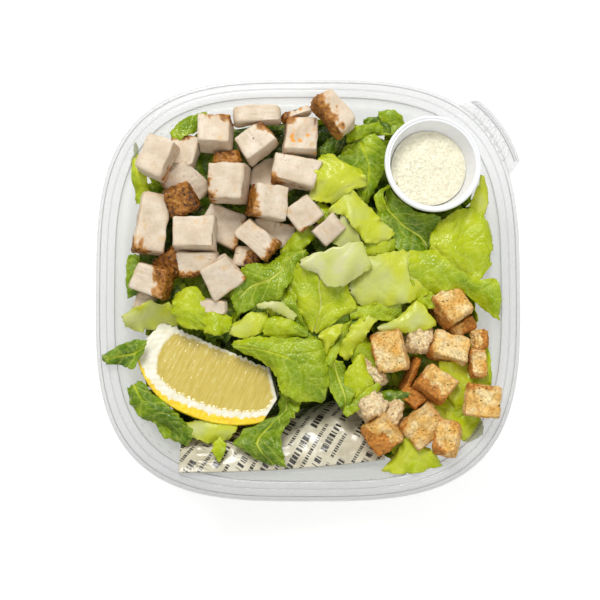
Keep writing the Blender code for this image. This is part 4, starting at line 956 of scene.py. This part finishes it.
toasted_bread, tree, shader = new_material(
    "toasted_bread", Roughness=0.72, Subsurface_Weight=0.10, Subsurface_Scale=0.0015,
    Subsurface_Radius=(1.0, 0.6, 0.3), Specular_IOR_Level=0.3,
)
browned, pale, painted_hole_shade = attribute(tree, "browned"), attribute(tree, "pale"), attribute(tree, "painted_hole_shade")
patches = mottle(tree, place(tree), 160.0, 900.0, 520.0, 0.24)
crumb = ramp(tree, patches["Broad"], (0.32, paint(226, 168, 78)), (0.48, paint(240, 198, 118)), (0.64, paint(250, 226, 168)))
torn_crumb = ramp(tree, patches["Fine"], (0.35, paint(226, 194, 134)), (0.50, paint(242, 220, 172)), (0.65, paint(250, 238, 206)))
crumb = mix_colours(tree, pale, crumb, torn_crumb)
toast = ramp(tree, patches["Fine"], (0.34, paint(156, 88, 22)), (0.48, paint(196, 122, 40)), (0.66, paint(222, 158, 74)))
bread = mix_colours(tree, calculate(tree, "ADD", browned, calculate(tree, "MULTIPLY", calculate(
    tree, "SUBTRACT", patches["Fine"], 0.5), 0.5), clamp=True), crumb, toast)
# Painted shade: darker brown where the surface is pushed in at the holes, the shade inside them.
bread = mix_colours(tree, calculate(tree, "MULTIPLY", painted_hole_shade, 0.40), bread, paint(178, 120, 58))
herb_place = node(tree, "VectorMath", {"operation": "MULTIPLY"}, _0=place(tree), _1=(1.0, 1.5, 1.2)).outputs[0]
# Painted shade: the fine pores are darkened, the shade inside them; the same mask bumps the surface.
pores = step_up(tree, noise(tree, place(tree), 1000.0, 4.0, 0.65), 0.32, 0.50)
bread = mix_colours(tree, calculate(tree, "MULTIPLY", calculate(tree, "SUBTRACT", 1.0, pores), 0.22), bread, paint(176, 112, 46))
herbs = mottle(tree, herb_place, 80.0, 500.0, 380.0, 0.17)
bread = mix_colours(tree, herbs["Fleck"], bread, paint(84, 88, 30))
attach(tree, bread, shader, "Base Color")
attach(tree, bump(tree, pores, 0.0006, 0.7), shader, "Normal")

crouton_grid, crouton_faces = cube_grid(CROUTON_CELLS)
for number in range(1, CROUTON_COUNT + 1):
    planes = node_planes(f"crouton_{number:02d}")
    torn = 1.0 if number in TORN else 0.0
    points, facing, edge = rounded_block(crouton_grid, planes, 22.0 - 8.0 * torn)
    towards, start = BROWNED_SIDES.get(number, (0, 9.0))
    brown = sear_share(points, planes, towards, start, 500 + number)
    brown = np.clip(brown * 0.95 + (0.85 - 0.55 * torn) * edge, 0.0, 1.0)
    holes = np.clip(ripples(points, 2.0, 600 + number) - 1.15, 0.0, 1.0) + 0.6 * np.clip(
        ripples(points, 4.2, 640 + number) - 1.5, 0.0, 1.0)
    relief = 0.26 * ripples(points, 7.0, 700 + number) + 0.12 * ripples(points, 1.2, 740 + number) - 0.6 * holes
    relief += torn * (0.34 * ripples(points, 4.0, 780 + number) + 0.16 * ripples(points, 1.6, 790 + number) + 0.4)
    bread_mesh = mesh_of(points + facing * relief[:, None], [crouton_faces])
    add_attribute(bread_mesh, "browned", brown)
    add_attribute(bread_mesh, "pale", np.full(len(points), torn))
    add_attribute(bread_mesh, "painted_hole_shade", np.clip(holes * 1.6, 0.0, 1.0))
    add_piece(f"crouton_cube_{number:02d}", bread_mesh, toasted_bread, "toasted_bread", f"crouton_{number:02d}")

# ---------------------------------------------------------------------------------------------
# Dressing packet: a pillow pouch of cream film, printed with slanting rows of short dark strokes. It
# lies along the bowl's wall with one end on the ledge, crinkled, with a flat seal at each end.
# ---------------------------------------------------------------------------------------------

PACKET_LENGTH, PACKET_WIDTH, PACKET_FULL = 92.0, 36.0, 8.0
PACKET_CORNER = (-57.5, -82.8, 52.2)
PACKET_DRIFT, PACKET_SINK = 5.3, 7.6
PACKET_SLOPE_AT_EDGE, PACKET_SLOPE_BELOW = (25.0, 18.0), (88.0, 28.0)  # degrees, left and right
PACKET_SEAL, SEAL_FULL = 8.0, 0.9
PRINT_TILT = math.radians(-57.0)


def packet_middle(across, along):
    """Middle surface: each cross-section is an arc whose slope grows evenly from its upper edge
    (along 0) to its lower one (along 1); across runs 0..1 from the left seal to the right one."""
    upper = np.radians(np.interp(across, (0.0, 1.0), PACKET_SLOPE_AT_EDGE))
    lower = np.radians(np.interp(across**2, (0.0, 1.0), PACKET_SLOPE_BELOW))
    slope = upper + (lower - upper) * along
    radius = PACKET_WIDTH / (lower - upper)
    x = PACKET_CORNER[0] + PACKET_LENGTH * across
    y = PACKET_CORNER[1] + PACKET_DRIFT * across**2.2 + radius * (np.sin(slope) - np.sin(upper))
    z = PACKET_CORNER[2] - PACKET_SINK * across - radius * (np.cos(upper) - np.cos(slope))
    return np.stack([x, y, z], axis=-1)


def packet_half(across, along):
    """Half thickness: a lens across the packet that swells from the seals to the middle."""
    from_end = np.minimum(across, 1.0 - across) * PACKET_LENGTH
    swell = np.sin(np.clip((from_end - PACKET_SEAL) / (PACKET_LENGTH * 0.28), 0.0, 1.0) * np.pi / 2)
    lens = np.clip(4.0 * along * (1.0 - along), 0.0, 1.0) ** 0.9
    return 0.5 * (SEAL_FULL + (PACKET_FULL - SEAL_FULL) * swell * lens)


def creases(flat, across):
    """Relief of the crinkled film: sharp ridges where wave sums pass through zero, deepest near
    the seals, and the fine cross ribs of the seals themselves."""
    from_end = np.minimum(across, 1.0 - across) * PACKET_LENGTH
    near_seal = np.exp(-((np.maximum(from_end - PACKET_SEAL, 0.0) / 14.0) ** 2))
    broad = 1.0 - np.abs(ripples(flat * (1.0, 1.4), 22.0, 21))
    narrow = 1.0 - np.abs(ripples(flat * (0.6, 1.5), 9.0, 22))
    seal = np.clip((PACKET_SEAL - from_end) / 1.0, 0.0, 1.0)
    ribs = 0.18 * np.sin(flat[..., 0] * 2.0 * np.pi / 1.5) * seal
    return (0.55 * np.maximum(broad, -0.6) + (0.22 + 0.5 * near_seal) * np.maximum(narrow, -0.5)) * (1.0 - seal) + ribs


across, along = np.meshgrid(np.linspace(0.0, 1.0, 171), np.linspace(0.0, 1.0, 71), indexing="ij")
middle = packet_middle(across, along)
along_run, across_run = np.gradient(middle, axis=1), np.gradient(middle, axis=0)
normal = np.cross(across_run, along_run)
normal /= np.linalg.norm(normal, axis=-1, keepdims=True)
half = packet_half(across, along)[..., None]
flat = np.stack([across * PACKET_LENGTH, along * PACKET_WIDTH], axis=-1)
fold = creases(flat, across)[..., None] * np.clip(4.0 * along * (1.0 - along) * 3.0, 0.15, 1.0)[..., None]
upper_side = middle + normal * (half + 0.55 * fold)
lower_side = middle - normal * (half - 0.2)
packet_rings = np.concatenate([upper_side, lower_side[:, ::-1]], axis=1)
packet_mesh = ringed_mesh(packet_rings)
printed = np.concatenate([flat, flat[:, ::-1] + (0.0, 60.0)], axis=1).reshape(-1, 2)
vector_attribute(packet_mesh, "film_place", np.column_stack([
    np.concatenate([printed, np.zeros((2, 2))]), np.zeros(len(printed) + 2)]))

packet_film, tree, shader = new_material("packet_film", Roughness=0.30, Coat_Weight=0.35, Coat_Roughness=0.15)
film_place = node(tree, "Attribute", {"attribute_name": "film_place"}).outputs["Vector"]
turned = node(tree, "VectorRotate", {"rotation_type": "Z_AXIS"}, Vector=film_place, Angle=PRINT_TILT).outputs[0]
parts = node(tree, "SeparateXYZ", _0=turned).outputs
row = calculate(tree, "DIVIDE", parts[1], 0.0048)
row_number = calculate(tree, "FLOOR", row)
in_row = calculate(tree, "SUBTRACT", calculate(tree, "FRACT", row), 0.5)
large_row = calculate(tree, "GREATER_THAN", calculate(tree, "FRACT", calculate(tree, "MULTIPLY", row_number, 0.5)), 0.25)
dash_place = node(tree, "CombineXYZ", _0=parts[0], _1=calculate(tree, "MULTIPLY", row_number, 0.11)).outputs[0]
uneven = calculate(tree, "MULTIPLY", noise(tree, dash_place, 700.0, 2.0), calculate(tree, "ADD", 1.4, large_row))
pitch = calculate(tree, "ADD", 900.0, calculate(tree, "MULTIPLY", large_row, -360.0))
stroke = calculate(tree, "FRACT", calculate(tree, "ADD", calculate(tree, "MULTIPLY", parts[0], pitch), uneven))
stroke = calculate(tree, "LESS_THAN", stroke, 0.62)
reach = calculate(tree, "ADD", 0.17, calculate(tree, "MULTIPLY", large_row, 0.15))
reach = calculate(tree, "MULTIPLY", reach, calculate(tree, "ADD", 0.6, calculate(tree, "MULTIPLY", noise(tree, dash_place, 900.0, 1.0), 0.8)))
tall = calculate(tree, "LESS_THAN", calculate(tree, "ABSOLUTE", in_row), reach)
words = step_up(tree, noise(tree, dash_place, 120.0, 1.0), 0.43, 0.45)
ink = calculate(tree, "MULTIPLY", calculate(tree, "MULTIPLY", stroke, tall), words)
cream = ramp(tree, noise(tree, film_place, 60.0, 3.0), (0.32, paint(168, 160, 134)), (0.48, paint(204, 196, 170)), (0.62, paint(224, 217, 194)))
attach(tree, mix_colours(tree, calculate(tree, "MULTIPLY", ink, 0.95), cream, paint(22, 21, 20)), shader, "Base Color")
attach(tree, bump(tree, noise(tree, film_place, 260.0, 3.0), 0.0008, 0.5), shader, "Normal")
add_piece("printed_packet", packet_mesh, packet_film, "packet_film", "dressing_packet")

# ---------------------------------------------------------------------------------------------
# Portion cup: moulded in milky translucent plastic, tapered, with a rolled double lip. It is
# set down into the salad at the bowl's tab corner and leans a little.
# ---------------------------------------------------------------------------------------------

CUP_PLACE, CUP_LEAN, CUP_LEANS_TOWARDS = (53.2, 53.4, 30.8), 6.5, 30.0
CUP_PROFILE = (  # radius and height, from the foot's middle up the outside and down the inside
    (11.5, 0.7), (12.4, 0.1), (13.4, 0.0), (14.4, 0.2), (14.9, 0.9), (17.4, 13.0), (19.85, 24.9),
    (20.1, 25.6), (20.9, 25.75), (21.6, 25.9), (21.9, 26.4), (21.9, 27.1), (21.6, 27.75),
    (21.05, 28.0), (20.6, 27.8), (20.35, 27.3), (20.1, 27.35), (19.8, 27.5), (19.5, 27.3),
    (19.3, 26.6), (19.15, 25.4), (18.3, 21.0), (16.8, 13.0), (14.4, 2.2), (13.8, 1.2), (12.6, 0.95),
)


def leaned_cup(points):
    """Cup coordinates tipped over by the lean, towards its angle of the plan, and moved there."""
    tip, way = math.radians(CUP_LEAN), math.radians(CUP_LEANS_TOWARDS)
    hinge = np.array([-math.sin(way), math.cos(way), 0.0])
    skew = np.array([[0, 0, hinge[1]], [0, 0, -hinge[0]], [-hinge[1], hinge[0], 0]])
    turn = np.eye(3) + math.sin(tip) * skew + (1.0 - math.cos(tip)) * skew @ skew
    return points @ turn.T + CUP_PLACE


def turned_rings(profile, columns):
    """Rings of points: each radius and height of the profile carried round the Z axis."""
    angle = np.linspace(0.0, 2.0 * np.pi, columns, endpoint=False)
    radius, height = profile[:, :1], profile[:, 1:2]
    return np.stack([radius * np.cos(angle), radius * np.sin(angle), height + 0.0 * angle], axis=-1)


cup_mesh = ringed_mesh(leaned_cup(turned_rings(smooth_path(CUP_PROFILE, 3), 160)))
milky_plastic, tree, shader = new_material(
    "milky_plastic", Roughness=0.28, Subsurface_Weight=0.35, Subsurface_Scale=0.004,
    Subsurface_Radius=(1.0, 1.0, 1.0),
)
cloud = noise(tree, place(tree), 60.0, 2.0)
attach(tree, ramp(tree, cloud, (0.3, paint(236, 237, 240)), (0.7, paint(246, 247, 250))), shader, "Base Color")
attach(tree, bump(tree, noise(tree, place(tree), 900.0, 2.0), 0.0001, 0.3), shader, "Normal")
add_piece("milky_cup", cup_mesh, milky_plastic, "frosted_plastic", "portion_cup")

# ---------------------------------------------------------------------------------------------
# Grated parmesan: dry granules, heaped unevenly in the cup and settled away from the wall on
# one side.
# ---------------------------------------------------------------------------------------------

CHEESE_RADIUS, CHEESE_LEVEL, CHEESE_CROWN = 17.2, 17.4, 1.5
GRANULES, GRANULE_SIZE = 11000, (0.12, 0.30)


def cheese_height(x, y):
    """Level of the cheese: a low crown, lumps, and a dip towards the side where it has settled."""
    share = np.hypot(x, y) / CHEESE_RADIUS
    lumps = 0.16 * ripples(np.stack([x, y], axis=-1), 9.0, 31) + 0.10 * ripples(np.stack([x, y], axis=-1), 3.0, 32)
    dip = 1.3 * np.exp(-(((np.arctan2(y, x) + 2.2) / 0.5) ** 2)) * share**8
    return CHEESE_LEVEL + CHEESE_CROWN * (1.0 - share**2) + lumps - dip


angle = np.linspace(0.0, 2.0 * np.pi, 120, endpoint=False)
share = np.concatenate([np.linspace(0.03, 1.0, 40), [0.995, 0.9]])[:, None]
radius = CHEESE_RADIUS * share
x, y = radius * np.cos(angle), radius * np.sin(angle)
z = cheese_height(x, y)
z[-2], z[-1] = CHEESE_LEVEL - 2.5, 1.4
x[-1] *= 0.80
y[-1] *= 0.80
cheese_mesh = ringed_mesh(leaned_cup(np.stack([x, y, z], axis=-1)))

parmesan_crumbs, tree, shader = new_material(
    "parmesan_crumbs", Roughness=0.8, Specular_IOR_Level=0.3,
)
specks = mottle(tree, place(tree), 220.0, 2300.0, 1100.0, 0.20)
cheese_colour = ramp(tree, specks["Fine"], (0.32, paint(250, 243, 214)), (0.50, paint(253, 249, 228)), (0.7, paint(255, 254, 240)))
yellower = calculate(tree, "MULTIPLY", specks["Fleck"], 0.7)
attach(tree, mix_colours(tree, yellower, cheese_colour, paint(250, 228, 166)), shader, "Base Color")
attach(tree, bump(tree, specks["Fine"], 0.0003, 0.6), shader, "Normal")
add_piece("parmesan_bed", cheese_mesh, parmesan_crumbs, "grated_cheese", "parmesan")

rng = np.random.default_rng(41)
octahedron = np.array([(1, 0, 0), (-1, 0, 0), (0, 1, 0), (0, -1, 0), (0, 0, 1), (0, 0, -1)], float)
octahedron_faces = np.array([(0, 2, 4), (2, 1, 4), (1, 3, 4), (3, 0, 4), (2, 0, 5), (1, 2, 5), (3, 1, 5), (0, 3, 5)])


def crumbs(spots, sizes, rng):
    """A small uneven octahedron at each spot: its corners drawn out by random amounts, then turned
    by a random orthonormal frame."""
    corners = octahedron * rng.uniform(0.55, 1.25, (len(spots), 6, 1)) * sizes[:, None, None]
    frames = np.linalg.qr(rng.normal(size=(len(spots), 3, 3)))[0]
    points = corners @ frames + spots[:, None]
    faces = octahedron_faces + 6 * np.arange(len(spots))[:, None, None]
    return mesh_of(points.reshape(-1, 3), [faces.reshape(-1, 3)], smooth=False)


angle = rng.uniform(0.0, 2.0 * np.pi, GRANULES)
radius = CHEESE_RADIUS * 0.985 * np.sqrt(rng.uniform(0.0, 1.0, GRANULES))
x, y = radius * np.cos(angle), radius * np.sin(angle)
spots = np.stack([x, y, cheese_height(x, y) + rng.uniform(-0.15, 0.30, GRANULES)], axis=-1)
granule_mesh = crumbs(leaned_cup(spots), rng.uniform(*GRANULE_SIZE, GRANULES), rng)
add_piece("parmesan_granules", granule_mesh, parmesan_crumbs, "grated_cheese")

# ---------------------------------------------------------------------------------------------
# Lemon: a wedge cut lengthwise with its two ends trimmed. Two wet cut faces of juice sacs that
# run out from the core, thick white pith, and dimpled yellow zest round the outside.
# ---------------------------------------------------------------------------------------------

LEMON_CORE = ((-66.0, -14.5, 41.5), (-19.0, -35.0, 42.5))
LEMON_RADIUS, LEMON_FACE_ANGLES = 34.8, (11.0, -36.0)
LEMON_END_SHARES = (0.53, 0.70)
LEMON_END_SLANTS = ((0.2, 2.8, 5.5), (1.5, 10.8, 9.0))  # reach of each end at core, midway, rind
PITH_DEPTH = 6.6

start, end = np.array(LEMON_CORE[0]), np.array(LEMON_CORE[1])
core_length = np.linalg.norm(end - start)
axis = (end - start) / core_length
away = np.array([axis[1], -axis[0], 0.0]) / math.hypot(axis[0], axis[1])
rise = np.cross(axis, away)
rise, away = rise * np.sign(rise[2]), away * -np.sign(away[1])
face, arc = np.linspace(0.03, 1.0, 75), np.linspace(1.0, 0.0, 46)[1:-1]
share = np.concatenate([face, np.ones(len(arc)), face[::-1]])
spread = np.concatenate([np.ones(len(face)), arc, np.zeros(len(face))])
angle = np.radians(LEMON_FACE_ANGLES[1] + (LEMON_FACE_ANGLES[0] - LEMON_FACE_ANGLES[1]) * spread)
along = np.linspace(-1.0, 1.0, 171)[:, None]
end_share = np.where(along < 0.0, *LEMON_END_SHARES)
radius = LEMON_RADIUS * (1.0 - (1.0 - end_share) * np.abs(along) ** 2.4)
slants = [np.interp(share, (0.0, 0.5, 1.0), slant)[None] for slant in LEMON_END_SLANTS]
slide = (along + 1.0) / 2.0 * core_length + along * np.where(along < 0.0, *slants)
reach = share[None] * radius
depth = radius - reach  # how far under the rind
from_left = (along + 1.0) / 2.0 * core_length
ragged = 0.28 * np.sin(slide * 1.9 + 1.2 * np.sin(slide * 0.7)) + 0.10 * np.sin(slide * 4.3)
core_white = 3.3 - 2.1 * from_left / core_length + 1.4 * ragged
left_white = 4.6 + 0.028 * (reach - 13.0) ** 2
depth = np.minimum(depth + ragged * np.clip(depth, 0.0, 1.0), np.maximum(slide - left_white, -2.0) + PITH_DEPTH)
depth = np.minimum(depth, np.maximum(reach - core_white, -2.0) + PITH_DEPTH)
depth = np.minimum(depth, (core_length - from_left) * 1.4 + PITH_DEPTH - 1.6)
zest_reach = 0.8 + 3.8 * np.clip(from_left / core_length * 1.6, 0.0, 1.0) * (1.0 - 0.3 * from_left / core_length)
flesh = np.clip((depth - PITH_DEPTH) / 0.8, 0.0, 1.0) * (share[None] < 0.999)
place_along = np.stack([slide + 0.0 * reach, reach], axis=-1)
sacs = ripples(place_along * (1.0, 0.16), 2.3, 61) + 0.6 * ripples(place_along * (1.0, 0.3), 1.2, 62)
relief = flesh * (0.03 * sacs - 0.30) + (1.0 - flesh) * 0.07 * ripples(place_along, 3.0, 63)
rind = (share[None] > 0.999) * (0.10 * ripples(np.stack([slide, np.degrees(angle)[None] * 0.6 + 0 * slide], axis=-1), 1.5, 64))
core_edge = np.clip(1.0 - reach / 2.5, 0.0, 1.0)
reach = reach + rind + core_edge * 0.5 * ripples(place_along * (1.0, 0.2), 2.2, 65)
tangent = np.cos(angle)[None, :, None] * away + np.sin(angle)[None, :, None] * rise
facing = -np.sin(angle)[None, :, None] * away + np.cos(angle)[None, :, None] * rise
facing = facing * np.where(np.arange(len(share)) < len(face), 1.0, np.where(spread > 0.0, 0.0, -1.0))[None, :, None]
points = start + slide[..., None] * axis + reach[..., None] * tangent + relief[..., None] * facing
lemon_mesh = ringed_mesh(points)
ends = np.full(2, PITH_DEPTH - 2.0)
add_attribute(lemon_mesh, "depth", np.concatenate([depth.ravel(), ends]))
add_attribute(lemon_mesh, "peel_depth", np.concatenate([(depth - zest_reach).ravel(), ends]))
vector_attribute(lemon_mesh, "sac_place", np.concatenate([
    np.column_stack([slide.ravel(), (share[None] * radius).ravel(), np.zeros(slide.size)]), np.zeros((2, 3))]))

lemon_wedge, tree, shader = new_material(
    "lemon_wedge", Subsurface_Weight=0.25, Subsurface_Scale=0.003, Subsurface_Radius=(1.0, 0.8, 0.3), Coat_Roughness=0.08,
)
depth_mm = attribute(tree, "depth")
sac_place = node(tree, "Attribute", {"attribute_name": "sac_place"}).outputs["Vector"]
long_sacs = node(tree, "VectorMath", {"operation": "MULTIPLY"}, _0=sac_place, _1=(1.0, 0.10, 1.0)).outputs[0]
streak = noise(tree, long_sacs, 1100.0, 3.0, 0.6)
wobble = calculate(tree, "MULTIPLY", calculate(tree, "SUBTRACT", noise(tree, place(tree), 500.0, 2.0), 0.5), 1.6)
edge_depth = calculate(tree, "ADD", depth_mm, wobble)
# Painted highlight: the palest, near-white streaks on the juice sacs stand for glints of light on the wet flesh.
juice_and_glints = ramp(tree, streak, (0.30, paint(198, 172, 72)), (0.50, paint(207, 185, 86)), (0.68, paint(214, 195, 102)), (0.73, paint(240, 232, 188)))
pith = ramp(tree, noise(tree, place(tree), 220.0, 3.0), (0.3, paint(230, 224, 196)), (0.7, paint(242, 238, 222)))
zest = ramp(tree, noise(tree, place(tree), 260.0, 3.0), (0.3, paint(234, 194, 4)), (0.7, paint(248, 218, 16)))
body = mix_colours(tree, step_up(tree, edge_depth, PITH_DEPTH - 0.5, PITH_DEPTH + 0.6), pith, juice_and_glints)
teeth = noise(tree, long_sacs, 420.0, 1.0)
peel_depth = calculate(tree, "SUBTRACT", attribute(tree, "peel_depth"), calculate(tree, "MULTIPLY", calculate(tree, "SUBTRACT", teeth, 0.5), 3.0))
peel = step_up(tree, calculate(tree, "ADD", peel_depth, wobble), -0.4, 0.4)
attach(tree, mix_colours(tree, peel, zest, body), shader, "Base Color")
wet = step_up(tree, depth_mm, PITH_DEPTH, PITH_DEPTH + 0.8)
attach(tree, calculate(tree, "SUBTRACT", 0.5, calculate(tree, "MULTIPLY", wet, 0.32)), shader, "Roughness")
attach(tree, calculate(tree, "MULTIPLY", wet, 0.6), shader, "Coat Weight")
dimples = noise(tree, place(tree), 900.0, 2.0)
attach(tree, bump(tree, calculate(tree, "ADD", calculate(tree, "MULTIPLY", dimples, 0.7), calculate(tree, "MULTIPLY", streak, wet)), 0.0004, 0.14), shader, "Normal")
add_piece("lemon_slice", lemon_mesh, lemon_wedge, "lemon", "lemon_wedge")

# ---------------------------------------------------------------------------------------------
# White table, two soft boxes overhead and the camera almost straight above.
# ---------------------------------------------------------------------------------------------

TABLE_HALF = 900.0
side = np.linspace(-TABLE_HALF, TABLE_HALF, 3)
table_grid = np.stack([*np.meshgrid(side, side, indexing="ij"), np.zeros((3, 3))], axis=-1)
index = np.arange(9).reshape(3, 3)
table_mesh = bpy.data.meshes.new("table")
table_mesh.from_pydata((table_grid.reshape(-1, 3) * MM).tolist(), [], grid_quads(index)[:, ::-1].tolist())
table_white, tree, shader = new_material(
    "table_white", Roughness=0.6, Emission_Color=(1.0, 1.0, 1.0, 1.0), Emission_Strength=0.38,
)
speckle = noise(tree, place(tree), 40.0, 2.0)
attach(tree, ramp(tree, speckle, (0.3, paint(253, 253, 253)), (0.7, paint(255, 255, 255))), shader, "Base Color")
table_mesh.materials.append(table_white)
table = bpy.data.objects.new("table", table_mesh)
bpy.context.scene.collection.objects.link(table)


def soft_box(name, spot, aim, size, watts, colour=(1.0, 1.0, 1.0)):
    """Square area lamp at a spot, turned towards another, both in millimetres."""
    lamp = bpy.data.lights.new(name, "AREA")
    lamp.shape, lamp.size, lamp.energy, lamp.color = "SQUARE", size * MM, watts, colour
    holder = bpy.data.objects.new(name, lamp)
    bpy.context.scene.collection.objects.link(holder)
    turn_towards(holder, np.array(spot, float), np.array(aim, float))


def turn_towards(holder, spot, aim):
    """Stands a lamp or camera at a spot with its own -Z axis through the aim and +Y upwards."""
    back = (spot - aim) / np.linalg.norm(spot - aim)
    right = np.cross([0.0, 1.0, 0.0], back)
    right /= np.linalg.norm(right)
    matrix = np.eye(4)
    matrix[:3, :3] = np.column_stack([right, np.cross(back, right), back])
    matrix[:3, 3] = spot * MM
    holder.matrix_world = Matrix(matrix)


soft_box("key_light", (-160.0, 620.0, 800.0), (0.0, 0.0, 30.0), 380.0, 6.6)
soft_box("fill_light", (420.0, -300.0, 900.0), (0.0, 0.0, 30.0), 600.0, 2.1)
world = bpy.data.worlds.new("studio")
world.use_nodes = True
world.node_tree.nodes["Background"].inputs["Color"].default_value = (1.0, 1.0, 1.0, 1.0)
world.node_tree.nodes["Background"].inputs["Strength"].default_value = 0.50
bpy.context.scene.world = world

CAMERA_AIM = np.array((-3.6, -5.7, 50.0))
CAMERA_DISTANCE = 550.0
CAMERA_ELEVATION = math.radians(86.5)
FRAME_WIDTH = 270.0  # millimetres seen at the aim
camera_data = bpy.data.cameras.new("camera")
camera_data.sensor_width = 36.0
camera_data.lens = 36.0 * CAMERA_DISTANCE / FRAME_WIDTH
camera_data.clip_start = 0.01
camera = bpy.data.objects.new("camera", camera_data)
bpy.context.scene.collection.objects.link(camera)
away = np.array((0.0, -math.cos(CAMERA_ELEVATION), math.sin(CAMERA_ELEVATION)))
turn_towards(camera, CAMERA_AIM + CAMERA_DISTANCE * away, CAMERA_AIM)
bpy.context.scene.camera = camera

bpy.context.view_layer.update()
